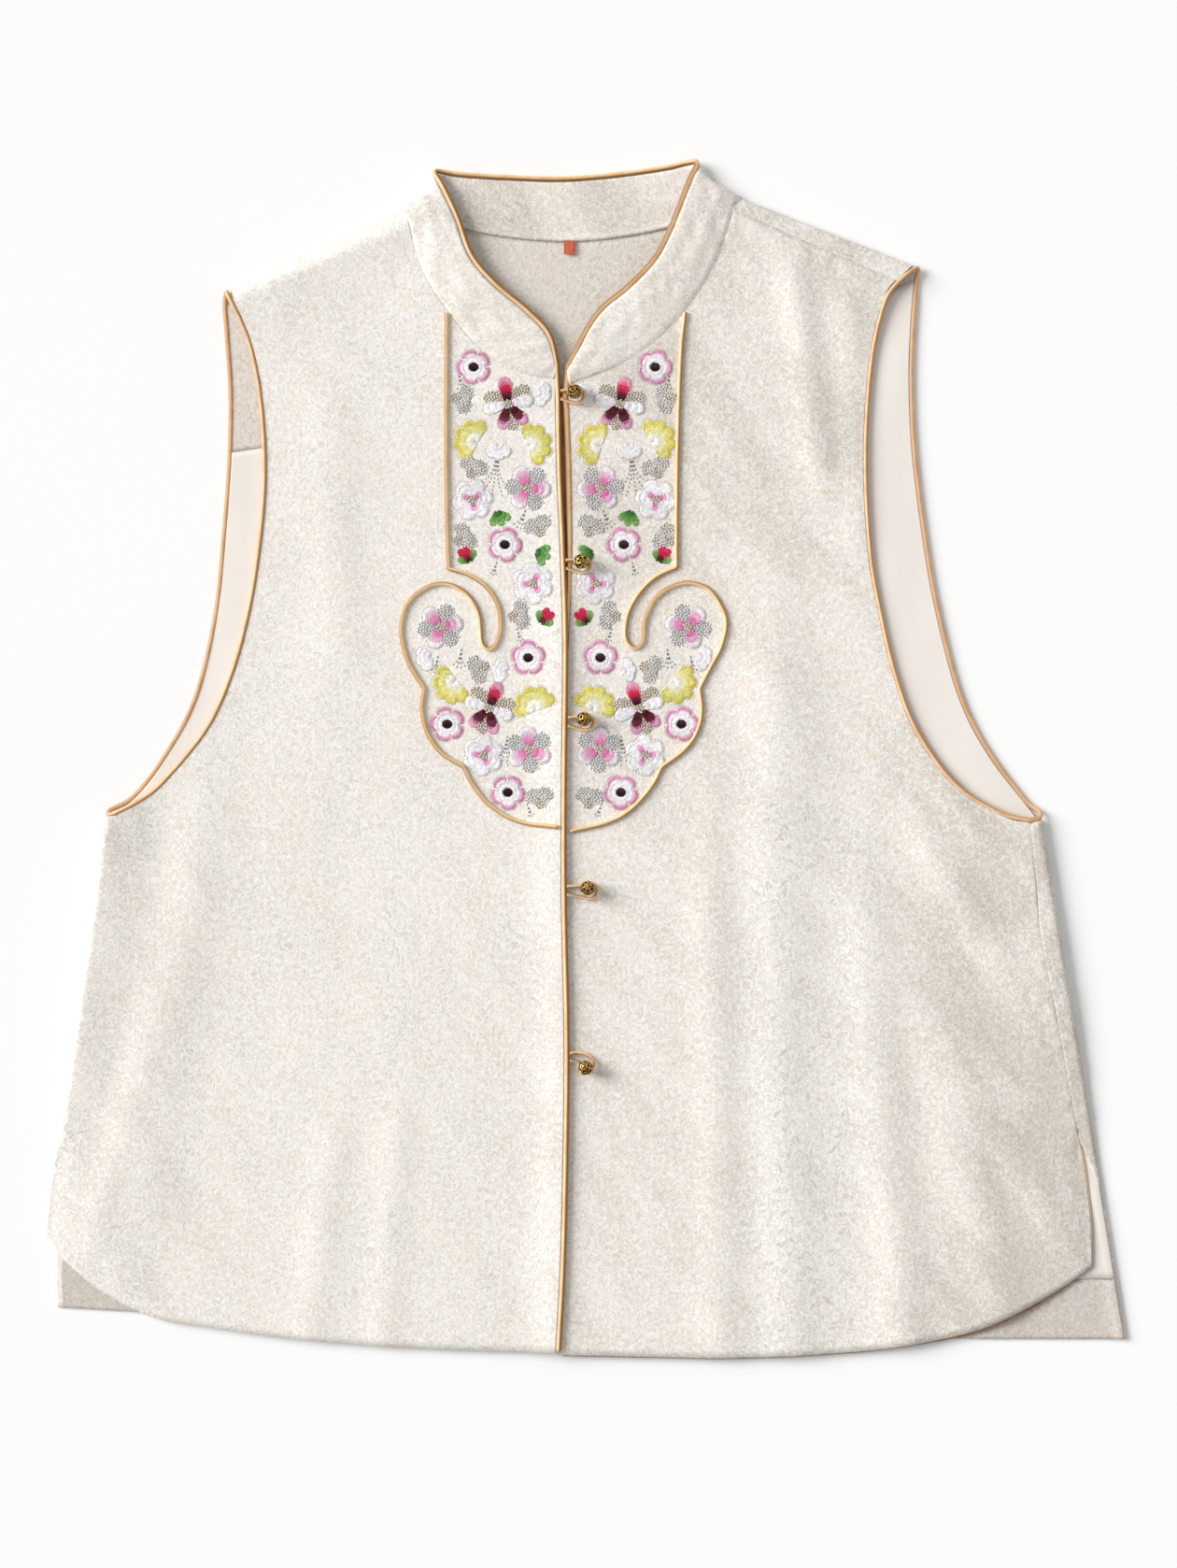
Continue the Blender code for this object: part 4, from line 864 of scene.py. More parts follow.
def left_shade(x, y):
    """Duller towards the side and over the chest, as this front faces away from the window."""
    return x.steps(115.0, 235.0).maths("MAXIMUM", y.steps(40.0, 150.0) * 0.55).maths("MAXIMUM", 0.16)


SHADE = {-1: right_shade, 1: left_shade}
NAMES = {-1: "right", 1: "left"}
fronts = {}
for hand, area in ((-1, 0.111), (1, 0.113)):
    silk = jacquard(f"front_jacquard_{NAMES[hand]}", (1.0, 1.0, 1.0), SHEEN_BAND[hand], SHADE[hand], CURL[hand])
    front = cloth(f"front_panel_{NAMES[hand]}", front_net(hand), place_front(hand), silk)
    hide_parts(f"front_{NAMES[hand]}")
    fronts[hand] = front


# The collar: a stiff stand-up band of the jacquard, interlined, sewn to the neck all round. Laid flat
# it doubles over at both sides, so its front halves stand up off the table and crease a little.
COLLAR_CLOTH = 1.6
COLLAR_GRID = (340, 20)
COLLAR_FOOT = -1.6
COLLAR_TOP_GAP = 1.7
COLLAR_BULGE = 0.8
COLLAR_REST = 0.1


def place_collar(across, up):
    """across runs round the neck from 0 to 1, up from the seam to the piping in millimetres."""
    seam, top = neck_seam.at(across), collar_top.at(across)
    rise = top - seam
    full = np.linalg.norm(rise, axis=1)[:, None]
    front = smoothstep(1.0, 5.0, seam[:, 2] + top[:, 2] - 5.0)
    up = up + 0.6 * (1 - front) * smoothstep(3.0, COLLAR_FOOT, up)
    share = up[:, None] / full
    points = seam + rise * share
    share = share[:, 0]
    points[:, 2] += COLLAR_BULGE * front * np.sin(math.pi * np.clip(share, 0.0, 1.0))
    points[:, 2] += (1.3 - 2.5 * front) * smoothstep(0.9, -0.6, up)
    length = across * neck_seam.length
    crease = wave(length, up * 2.2, 15.0, 2.0) + 0.6 * wave(length + up * 0.9, up * 0.4, 8.0, 4.0)
    middle = np.sin(math.pi * np.clip(share, 0.0, 1.0)) ** 0.7
    points[:, 2] += (0.4 + 0.6 * front * (1 - 0.5 * smoothstep(0.5, 0.7, across))) * crease * middle
    points[:, 2] = np.maximum(points[:, 2], 0.5 * COLLAR_CLOTH + COLLAR_REST)
    return points


collar_across = np.linspace(0.001, 0.999, COLLAR_GRID[0])
collar_height = np.linalg.norm(collar_top.at(collar_across) - neck_seam.at(collar_across), axis=1)
collar_up = np.linspace(0.0, 1.0, COLLAR_GRID[1])[:, None]
collar_up = COLLAR_FOOT + (collar_height - COLLAR_TOP_GAP - COLLAR_FOOT) * collar_up
collar_net = np.stack((np.broadcast_to(collar_across * neck_seam.length, collar_up.shape), collar_up), -1)
# painted shade: the back of the collar, inside the neck, is dimmed
collar = cloth(
    "stand_collar", collar_net, lambda x, y: place_collar(x / neck_seam.length, y),
    jacquard(
        "collar_jacquard", (0.985, 0.975, 0.96),
        shade=lambda x, y: x.steps(90.0, 140.0) * (1 - x.steps(230.0, 280.0)) * 0.6,
    ),
    COLLAR_CLOTH,
)
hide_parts("collar")


# The pipings: narrow bias strips of golden-orange satin folded round a cord, with painted shade on one side.
# One runs up the right front edge, round the top of the collar and down the left edge; one binds each
# armhole. A satin guard backs the left edge, coloured the dark brown of satin in shadow as painted shade,
# and a thin binding finishes that front's slit and hem: its own pale orange down the slit, then painted
# brown shadow along the hem.
ARM_PIPING = 1.15
ARM_BACK_Z = 1.35
LINING_TOP = 1.8
UNDERARM = {
    -1: ((-243.2, -25.4), (-245.2, -26.8), (-245.0, -28.4)),
    1: ((231.4, -26.4), (232.9, -28.4), (231.8, -30.3)),
}


def rope(name, path, radius, finish, closed=False, sides=12):
    """A round cord along a path, its UV map the way along it and round it, in metres."""
    path = np.array(path)
    around = np.vstack((path[-1:], path, path[:1])) if closed else path
    run = np.gradient(around, axis=0)
    run = run[1:-1] if closed else run
    run /= np.linalg.norm(run, axis=1, keepdims=True)
    aside = np.cross(run, (0.0, 0.0, 1.0))
    aside /= np.linalg.norm(aside, axis=1, keepdims=True)
    over = np.cross(aside, run)
    if closed:
        path, aside, over = (np.vstack((part, part[:1])) for part in (path, aside, over))
    travel = np.concatenate(([0.0], np.cumsum(np.linalg.norm(np.diff(path, axis=0), axis=1))))
    rings = len(path) - 1
    mesh = bmesh.new()
    uv = mesh.loops.layers.uv.new("cloth")
    bmesh.ops.create_grid(mesh, x_segments=rings, y_segments=sides, size=0.5, calc_uvs=True)
    for face in mesh.faces:
        for loop in face.loops:
            ring, turn = loop.vert.co.x + 0.5, loop.vert.co.y + 0.5
            loop[uv].uv = (travel[round(ring * rings)] * MM, turn * 2 * math.pi * radius * MM)
    for vertex in mesh.verts:
        ring = round((vertex.co.x + 0.5) * rings)
        turn = (vertex.co.y + 0.5) * 2 * math.pi
        spot = path[ring] + radius * (aside[ring] * math.cos(turn) + over[ring] * math.sin(turn))
        vertex.co = spot * MM
    bmesh.ops.remove_doubles(mesh, verts=mesh.verts, dist=1e-7)
    if not closed:
        rim = [edge for edge in mesh.edges if edge.is_boundary]
        bmesh.ops.holes_fill(mesh, edges=rim, sides=0)
    bmesh.ops.recalc_face_normals(mesh, faces=mesh.faces)
    return sew_on(name, as_mesh(name, mesh), finish)


# the binding shows its own pale orange down the slit and darkens to painted brown shadow between these
# distances from its start
SLIT_BOUND = (58.0, 74.0)


def satin(name, light, deep, shade=None, radius=1.0, side=1, start=None):
    """Silk satin cut on the bias: slanting threads, a smooth shine, and, given a shade colour, one side of
    the cord darker.
    """
    silk = Finish(name, Specular_IOR_Level=0.5, Sheen_Weight=0.2, Sheen_Roughness=0.35)
    x, y, _ = silk.place("cloth")
    patches = silk.noise(x, y, 9.0, 3.0).steps(0.38, 0.66)
    slant = ((x + y) * (2 * math.pi / 0.55)).maths("SINE")
    pulls = silk.noise(x / 1.1 + y, y * 0.4, 1.0, 2.0).steps(0.5, 0.8)
    colour = silk.mix(patches, light, deep)
    colour = silk.mix(slant * 0.08 + 0.08 + pulls * 0.2, colour, deep)
    if shade:
        # one side of the cord darker; on the edge and armhole pipings this is painted shade
        turned = ((y / radius).maths("COSINE") * side).steps(-0.2, 0.5)
        colour = silk.mix(turned, colour, shade)
    # painted shadow: past the slit the given dark browns stand for the shadow under the hem
    if start:
        colour = silk.mix(x.steps(*SLIT_BOUND), start, colour)
    silk.set("Base Color", colour)
    silk.set("Roughness", 0.36 + pulls * 0.12)
    silk.relief(slant * 0.5 + pulls, 0.05, 0.6)
    return silk.material


edge_y = np.linspace(-303.0, 186.0, 260)
run_right = np.stack((front_edge[-1].width(edge_y), edge_y, edge_height(-1, edge_y)), -1)
run_left = np.stack((front_edge[1].width(edge_y), edge_y - 0.4, edge_height(1, edge_y)), -1)
run_top = collar_top.at(np.linspace(0.004, 0.996, 250))
# painted shade: the edge piping is dark brown on the side towards the opening between the fronts and the
# inside of the neck
edge_piping = rope(
    "edge_piping_satin", np.vstack((run_right, run_top, run_left[::-1])), PIPING_RADIUS,
    satin("edge_satin", (0.92, 0.62, 0.34), (0.82, 0.50, 0.23), (0.36, 0.17, 0.05), PIPING_RADIUS),
)
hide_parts("edge_piping")
GUARD_X = (-15.6, -7.4)
GUARD_Y = (58.0, 191.0)
GUARD_Z = 2.8
GUARD_CLOTH = 0.5
guard_net = np.stack(np.meshgrid(np.linspace(*GUARD_X, 12), np.linspace(*GUARD_Y, 90)), -1)
# painted shade: the guard's satin is coloured the dark brown of satin in shadow
guard = cloth(
    "edge_guard", guard_net, lambda x, y: np.stack((x, y, 0 * x + GUARD_Z), -1),
    satin("guard_satin", (0.36, 0.17, 0.05), (0.24, 0.10, 0.025)), GUARD_CLOTH,
)
# how far the binding stands out beyond the slit and the hem, by shares of its length
BINDING = (
    (0.0, 0.2), (0.06, 0.3), (0.14, 0.3), (0.18, -0.3), (0.24, 0.0), (0.28, 0.8), (0.36, 0.9), (0.48, 0.0),
)
BINDING_RADIUS = 0.5
binding_at = np.linspace(0.0, 1.0, 260)
binding_line = Line((*FRONT_SLIT[1][::-1], *FRONT_HEM[1][::-1][1:]), (3,))
binding_run = binding_line.beside(binding_at, np.interp(binding_at, *np.transpose(BINDING)))
binding_run = np.column_stack((binding_run, place_front(1)(*binding_run.T)[:, 2] - 0.1))
# painted shadow: the dark browns along the hem stand for the shadow under it; the start colour is the
# binding's own down the slit
binding = rope(
    "front_hem_binding", binding_run, BINDING_RADIUS,
    satin("binding_satin", (0.27, 0.13, 0.05), (0.15, 0.07, 0.02), start=(0.84, 0.58, 0.36)), sides=8,
)
# painted shade: the armhole pipings are darker on one side
arm_satin = satin(
    "armhole_satin", (0.90, 0.58, 0.33), (0.80, 0.45, 0.21), (0.60, 0.34, 0.16), ARM_PIPING,
)
for hand in (-1, 1):
    front_shares = np.linspace(0.006, 1.0, 26)
    inside = arm_front[hand].beside(front_shares, hand * ARM_INSET)
    low = LINING_TOP + CLOTH / 2 + SEAM_GAP + ARM_PIPING
    rise = np.maximum(low, front_height(hand, *inside.T))
    bound = [(*spot, z) for spot, z in zip(arm_front[hand].at(front_shares), rise)]
    bound.append((*along(shoulder_fold[hand], 1.0), 0.5 * (bound[-1][2] + ARM_BACK_Z)))
    bound += [(*spot, ARM_BACK_Z) for spot in arm_back[hand].at(np.linspace(0.985, 0.035, 26))]
    climb = (bound[0][2] - ARM_BACK_Z) / (len(UNDERARM[hand]) + 1)
    bound += [(*spot, ARM_BACK_Z + climb * step) for step, spot in enumerate(UNDERARM[hand], 1)]
    ring = Line([*bound, bound[0]])
    piping = rope(
        f"armhole_piping_{NAMES[hand]}", ring.at(np.linspace(0.0, 1.0, 521)[:-1]), ARM_PIPING,
        arm_satin, closed=True,
    )
    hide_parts(f"arm_piping_{NAMES[hand]}")


# The plaque's outline: a thin satin-covered cord in old gold, couched down on both fronts in the
# outline of a cloud, from the neck seam round to the front edge.
CORD_RADIUS = 1.1
PLAQUE = {
    -1: (
        (-71.8, 228.6), (-72.0, 159.6), (-71.6, 121.2), (-70.8, 97.6), (-61.4, 94.8), (-51.8, 88.6),
        (-45.6, 79.0), (-44.2, 68.4), (-46.1, 59.8), (-49.9, 56.4), (-53.8, 59.8), (-55.2, 73.2),
        (-60.0, 82.8), (-68.6, 89.0), (-78.2, 89.5), (-87.8, 84.2), (-93.6, 75.6), (-95.0, 63.6),
        (-91.2, 49.2), (-83.4, 36.4), (-84.5, 25.2), (-81.6, 13.2), (-74.4, 3.1), (-63.4, -3.8),
        (-57.6, -14.2), (-49.4, -23.8), (-35.0, -31.9), (-14.6, -34.8),
    ),
    1: (
        (50.4, 229.0), (48.2, 206.0), (46.6, 159.6), (46.1, 116.4), (46.1, 98.4), (36.0, 93.8),
        (27.8, 86.2), (21.6, 75.6), (19.7, 64.6), (21.6, 58.8), (25.4, 56.9), (28.8, 60.7),
        (29.8, 70.8), (34.6, 81.4), (41.8, 87.6), (52.3, 90.5), (62.4, 87.1), (69.1, 78.0),
        (71.5, 69.4), (69.1, 57.8), (63.4, 46.8), (57.9, 36.2), (59.0, 24.2), (56.2, 13.2),
        (49.4, 4.1), (38.6, -3.8), (33.1, -14.2), (22.6, -25.7), (10.6, -32.4), (-8.4, -37.0),
    ),
}
PLAQUE_CORNERS = {-1: (3, 19, 23), 1: (4, 21, 25)}


def on_front(hand, x, y, rise):
    """Height of something that lies on a front, its middle a rise above the cloth."""
    x, y = (np.atleast_1d(np.asarray(value, dtype=float)) for value in (x, y))
    return front_height(hand, x, y) + rumples(hand, x, y) + CLOTH / 2 + rise


for hand in (-1, 1):
    gold_satin = satin(
        f"cord_satin_{NAMES[hand]}", (0.88, 0.69, 0.40), (0.80, 0.56, 0.27), (0.54, 0.28, 0.09),
        CORD_RADIUS, side=-hand,
    )
    run = Line(PLAQUE[hand], PLAQUE_CORNERS[hand]).at(np.linspace(0.0, 1.0, 330))
    run = np.column_stack((run, on_front(hand, *run.T, CORD_RADIUS - 0.15)))
    outline = rope(f"plaque_outline_{NAMES[hand]}", run, CORD_RADIUS, gold_satin, sides=10)
    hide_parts(f"plaque_cord_{NAMES[hand]}")


# The embroidery: ordinary blossoms, leaves and stems in twisted silk, scattered over each front, the
# left one a mirror of the right. Petals are satin stitches that shade from root to tip, the grey
# and sand ones are filled with tiny knots, and the stems are broken running stitches.
THREAD_WIDTH = 0.7
THREAD_PITCH = 0.6
KNOT_AREA = 2.1
MIRROR_X = -11.5
KNOTTED = ("silver", "sand")
KNOT_HALF_LENGTH = 0.66
KNOT_WIDTH = 0.9
STEM_PITCH = 2.1
STEM_WIDTH = 0.5
GOLDEN_ANGLE = 2.39996
# each thread's colours at a petal's root, middle and tip
THREADS = {
    "rose": ((0.74, 0.20, 0.42), (0.84, 0.46, 0.65), (0.96, 0.92, 0.95)),
    "blush": ((0.96, 0.95, 0.96), (0.95, 0.88, 0.93), (0.78, 0.31, 0.50)),
    "snow": ((0.88, 0.80, 0.86), (0.96, 0.95, 0.96), (0.97, 0.96, 0.97)),
    "ruby": ((0.035, 0.002, 0.008), (0.70, 0.012, 0.065), (0.87, 0.42, 0.58)),
    "spike": ((0.07, 0.002, 0.012), (0.56, 0.010, 0.06), (0.70, 0.03, 0.11)),
    "wine": ((0.07, 0.002, 0.010), (0.12, 0.004, 0.018), (0.86, 0.44, 0.64)),
    "lemon": ((0.93, 0.92, 0.86), (0.86, 0.80, 0.34), (0.79, 0.72, 0.15)),
    "leaf": ((0.04, 0.15, 0.025), (0.12, 0.33, 0.07), (0.27, 0.50, 0.16)),
    "silver": ((0.44, 0.43, 0.42), (0.66, 0.645, 0.63), (0.92, 0.90, 0.88)),
    "sand": ((0.41, 0.35, 0.27), (0.63, 0.56, 0.47), (0.90, 0.85, 0.77)),
    "eye": ((0.018, 0.0008, 0.003), (0.025, 0.001, 0.004), (0.035, 0.0015, 0.006)),
    "stem": ((0.22, 0.21, 0.20), (0.28, 0.26, 0.25), (0.24, 0.23, 0.22)),
    "edge": ((0.50, 0.42, 0.43), (0.46, 0.38, 0.39), (0.52, 0.44, 0.45)),
}
# each kind of blossom: the middle's thread and radius, then its rows of petals. A row is the first
# petal's heading and the step to the next one in degrees, how many, length, breadth and thread.
BLOSSOMS = {
    "windflower": ("eye", 2.5, ((90, 72, 5, 9.0, 8.6, "blush"),)),
    "cosmos": ("sand", 2.4, ((30, 120, 3, 12.0, 10.5, "silver"), (90, 120, 3, 11.5, 8.5, "rose"))),
    "daisy": ("sand", 2.3, ((0, 60, 6, 10.5, 8.0, "snow"), (30, 120, 3, 7.5, 4.5, "rose"))),
    "lily": ("sand", 2.6, (
        (30, 120, 3, 13.5, 10.0, "sand"), (0, 180, 2, 13.0, 7.0, "snow"), (90, 180, 1, 14.5, 8.0, "ruby"),
        (240, 60, 2, 13.5, 7.0, "wine"))),
    "fan": (None, 0, ((10, 40, 5, 11.5, 7.4, "lemon"),)),
    "bud": (None, 0, ((40, 100, 2, 6.5, 4.5, "leaf"), (76, 28, 2, 8.5, 4.5, "spike"))),
    "sprig": (None, 0, ((50, 40, 3, 8.0, 4.6, "leaf"),)),
    "tuft": (None, 0, ((-55, 110, 2, 8.5, 8.0, "silver"), (0, 60, 1, 9.5, 8.5, "sand"))),
    "wisp": (None, 0, ((-45, 45, 3, 7.5, 6.5, "snow"),)),
}
# where each blossom is sewn on the right front: x, y, kind and turn in degrees
SPRAY = (
    (-58.0, 201.0, "windflower", 20), (-25.5, 188.0, "wisp", 340), (-60.0, 184.0, "tuft", 170),
    (-40.0, 182.0, "lily", 12), (-29.0, 161.0, "fan", 290), (-57.5, 163.0, "fan", 60),
    (-45.0, 161.0, "wisp", 270), (-57.0, 153.0, "tuft", 250), (-30.0, 139.0, "cosmos", 25),
    (-58.5, 133.0, "daisy", 10), (-46.0, 127.0, "sprig", 200), (-26.5, 123.0, "tuft", 290),
    (-60.0, 116.0, "tuft", 215), (-42.0, 110.0, "windflower", 50), (-60.0, 101.5, "bud", 30),
    (-26.0, 106.0, "sprig", 250), (-27.5, 90.0, "daisy", 35), (-31.0, 74.5, "tuft", 190),
    (-23.5, 70.0, "bud", 320), (-75.0, 68.0, "cosmos", 40), (-80.0, 52.5, "wisp", 200),
    (-30.0, 52.0, "windflower", 0), (-41.0, 45.0, "wisp", 170), (-59.0, 45.0, "tuft", 20),
    (-68.0, 39.5, "fan", 130), (-50.0, 26.0, "lily", 340), (-71.5, 18.0, "windflower", 15),
    (-26.5, 26.5, "fan", 20), (-53.0, 2.0, "daisy", 25), (-29.5, 5.0, "cosmos", 5),
    (-40.5, -17.0, "windflower", 40), (-25.0, -16.0, "tuft", 280),
)
# fans of running stitch: where each starts, its heading in degrees, how many and how long
STEMS = (
    (-45.0, 160.0, 262.0, 5, 28.0), (-31.0, 129.0, 250.0, 4, 13.0), (-66.0, 200.0, 280.0, 3, 12.0),
    (-46.0, 102.0, 255.0, 3, 9.0), (-36.0, 68.0, 285.0, 3, 9.0), (-64.0, 58.0, 262.0, 4, 13.0),
    (-40.5, 14.0, 264.0, 4, 19.0), (-76.0, 54.0, 258.0, 3, 11.0), (-31.0, -22.0, 290.0, 3, 9.0),
)
STEM_SPREAD = 9.0


def toward(heading):
    """The direction of a heading in degrees."""
    return np.array((math.cos(math.radians(heading)), math.sin(math.radians(heading))))


def satin_petal(root, heading, length, breadth, thread, lift):
    """Three rows of long and short stitches that fan out from a root to a rounded tip, and an outline."""
    ahead = toward(heading)
    aside = np.array((-ahead[1], ahead[0]))
    count = max(5, round(breadth / THREAD_PITCH))
    for step in range(count):
        across = 2 * (step + 0.5) / count - 1
        start = root + aside * across * breadth * 0.2
        tip = root + ahead * length * (1 - 0.36 * abs(across) ** 3) + aside * across * breadth * 0.5
        jag = 0.09 * (step % 2) + 0.03 * math.sin(9.0 * step + heading)
        rows = ((0.0, 0.36 + jag, 0.04), (0.3 + jag, 0.7 + jag, 0.5), (0.62 + jag, 1.0, 0.96))
        for low, high, tone in rows:
            ends = start + (tip - start) * low, start + (tip - start) * high
            yield *ends, THREAD_WIDTH, lift, thread, tone - 0.04, tone + 0.04
    if thread in ("snow", "blush", "rose", "lemon"):
        rim = [
            root + ahead * length * (1.05 - 0.36 * abs(across) ** 3) + aside * across * breadth * 0.56
            for across in np.linspace(-1.0, 1.0, 9)
        ]
        for start, stop in zip(rim, rim[1:]):
            yield start + (stop - start) * 0.1, start + (stop - start) * 0.85, 0.3, 0.0, "edge", 0.1, 0.9


def knotted_petal(root, heading, length, breadth, thread, lift):
    """A petal laid with dark thread and filled over it with tiny pale knots that lie every way."""
    ahead = toward(heading)
    aside = np.array((-ahead[1], ahead[0]))
    lines = round(length / 0.8)
    for step in range(lines):
        along_it = (step + 0.5) / lines
        half = breadth * 0.44 * math.sqrt(1 - (2 * along_it - 1) ** 2)
        spot = root + ahead * length * along_it
        yield spot - aside * half, spot + aside * half, 0.95, lift - 0.1, thread, 0.0, 0.12
    count = round(length * breadth * 0.78 / KNOT_AREA)
    for step in range(count):
        reach, turn = math.sqrt((step + 0.5) / count), step * GOLDEN_ANGLE
        share = 0.5 + 0.49 * reach * math.cos(turn)
        spot = root + ahead * length * share + aside * breadth * 0.49 * reach * math.sin(turn)
        lay = np.array((math.cos(turn * 1.7), math.sin(turn * 1.7))) * KNOT_HALF_LENGTH
        tone = 0.6 + 0.4 * ((0.37 * step) % 1.0)
        yield spot - lay, spot + lay, KNOT_WIDTH, lift + 0.12, thread, tone - 0.1, tone


def round_knot(spot, radius, thread, lift):
    """The middle of a flower: stitches across it, longest through the centre."""
    count = round(2 * radius / THREAD_PITCH)
    for step in range(count):
        across = 2 * (step + 0.5) / count - 1
        half = radius * math.sqrt(1 - across * across)
        left, right = (spot + np.array((across * radius, side * half)) for side in (-1, 1))
        yield left, right, THREAD_WIDTH, lift, thread, 0.1, 0.9


def running_stitch(points):
    run = Line(points)
    count = round(run.length / STEM_PITCH)
    for step in range(count):
        start, stop = run.at((step / count, (step + 0.6) / count))
        yield start, stop, STEM_WIDTH, 0.02, "stem", 0.0, 1.0


def embroider(name, stitches, hand, finish):
    """Every stitch is a short rounded bar of thread, its ends drawn down into the cloth."""
    data = bpy.data.meshes.new(name)
    mesh = bmesh.new()
    bmesh.ops.create_uvsphere(mesh, u_segments=5, v_segments=3, radius=1.0)
    mesh.to_mesh(data)
    mesh.free()
    mesh = bmesh.new()
    for _ in stitches:
        mesh.from_mesh(data)
    for face in mesh.faces:
        face.smooth = True
    mesh.to_mesh(data)
    mesh.free()
    spots = np.empty(len(data.vertices) * 3)
    data.vertices.foreach_get("co", spots)
    up, across, run = spots.reshape(len(stitches), -1, 3).transpose(2, 0, 1)
    end = np.abs(run) > 0.9
    share = 0.5 + 0.5 * np.sign(run) * np.where(end, 1.0, 0.78)
    start, stop = (np.array([stitch[end] for stitch in stitches]) for end in (0, 1))
    width, lift = (np.array([stitch[at] for stitch in stitches])[:, None] for at in (2, 3))
    ahead = stop - start
    ahead /= np.linalg.norm(ahead, axis=1, keepdims=True)
    x = start[:, :1] + (stop - start)[:, :1] * share - ahead[:, 1:] * across * 1.1 * width / 2
    y = start[:, 1:] + (stop - start)[:, 1:] * share + ahead[:, :1] * across * 1.1 * width / 2
    x = x if hand < 0 else 2 * MIRROR_X - x
    z = on_front(hand, x.ravel(), y.ravel(), 0.0).reshape(x.shape) + lift
    z += np.where(end, -0.04, 0.06) + up * width * 0.3
    data.vertices.foreach_set("co", (np.stack((x, y, z), -1) * MM).ravel())
    first, last = (np.array([stitch[at] for stitch in stitches])[:, None] for at in (5, 6))
    tone = np.clip(first + (last - first) * share, 0.0, 1.0)[..., None]
    root, middle, tip = (
        np.array([THREADS[stitch[4]][at] for stitch in stitches])[:, None, :] for at in range(3)
    )
    dye = np.where(tone < 0.5, root + (middle - root) * 2 * tone, middle + (tip - middle) * (2 * tone - 1))
    dye *= 0.86 + 0.2 * np.modf(np.arange(len(stitches)) * 0.618)[0][:, None, None]
    dye = np.dstack((np.clip(dye, 0.0, 1.0), np.ones_like(tone)))
    data.color_attributes.new("thread", "FLOAT_COLOR", "POINT").data.foreach_set("color", dye.ravel())
    if hand < 0:
        data.flip_normals()
    return sew_on(name, data, finish)


silk_thread = Finish("silk_thread", Specular_IOR_Level=0.22)
x, y, z = silk_thread.place()
dyed = silk_thread.node("Attribute", {"attribute_name": "thread"})
worn = silk_thread.noise(x, y, 2.6, 3.0, z / 2.6).steps(0.3, 0.8)
silk_thread.set("Base Color", silk_thread.mix(worn * 0.3, dyed, (0.86, 0.83, 0.80), "MULTIPLY"))
silk_thread.set("Roughness", 0.38 + worn * 0.12)
silk_thread.relief(silk_thread.noise(x, y, 0.25, 1.0), 0.06, 0.5)
spray = []
for flower_x, flower_y, kind, turn in SPRAY:
    eye, radius, rings = BLOSSOMS[kind]
    padding = 0.24 if rings[0][-1] in KNOTTED else 0.08
    middle = np.array((flower_x, flower_y))
    petals = [
        (turn + first + step * at, length, breadth, thread)
        for first, step, count, length, breadth, thread in rings
        for at in range(count)
    ]
    for order, (heading, length, breadth, thread) in enumerate(petals):
        root = middle + toward(heading) * radius * 0.75
        stitched = knotted_petal if thread in KNOTTED else satin_petal
        lift = 0.04 if thread in KNOTTED else padding + 0.015 * order
        spray += stitched(root, heading, length - radius * 0.75, breadth, thread, lift)
    if eye == "sand":
        spray += knotted_petal(middle - (radius, 0), 0, 2 * radius, 2 * radius, eye, 0.4)
    elif eye:
        spray += round_knot(middle, radius, eye, 0.45)
for stem_x, stem_y, heading, count, length in STEMS:
    for at in range(count):
        lean = (at - (count - 1) / 2) * STEM_SPREAD
        start, bend, end = (
            np.array((stem_x, stem_y)) + reach * toward(way)
            for reach, way in ((0.1 * length, heading), (0.55 * length, heading + 0.6 * lean),
                               (length * (1 - 0.06 * abs(lean) / STEM_SPREAD), heading + 1.4 * lean))
        )
        spray += running_stitch((start, bend, end))
for hand in (-1, 1):
    embroider(f"embroidery_{NAMES[hand]}", spray, hand, silk_thread.material)


# The buttons: small cast balls of antique brass, pierced all over so that the hollow inside shows
# dark. Each is sewn to the left front by a shank that the ball hides, so none is made. They stay done up.
BALL = 4.2
BALL_RIB = 0.95


def brass(name, light, dark, roughness):
    """Old brass: worn bright where it rubs, brown in the hollows."""
    metal = Finish(name, Metallic=1.0)
    x, y, z = metal.place()
    worn = metal.noise(x, y, 1.6, 3.0, z / 1.6).steps(0.36, 0.62)
    metal.set("Base Color", metal.mix(worn, dark, light))
    metal.set("Roughness", roughness + worn * -0.1)
    metal.relief(metal.noise(x, y, 0.5, 2.0, z * 2.0), 0.05, 0.5)
    return metal.material


def corners(node):
    """The lowest and highest corner of a node, in millimetres."""
    return (np.array(corner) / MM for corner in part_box(node))


cage_brass = brass("button_brass", (0.62, 0.40, 0.14), (0.20, 0.11, 0.03), 0.34)
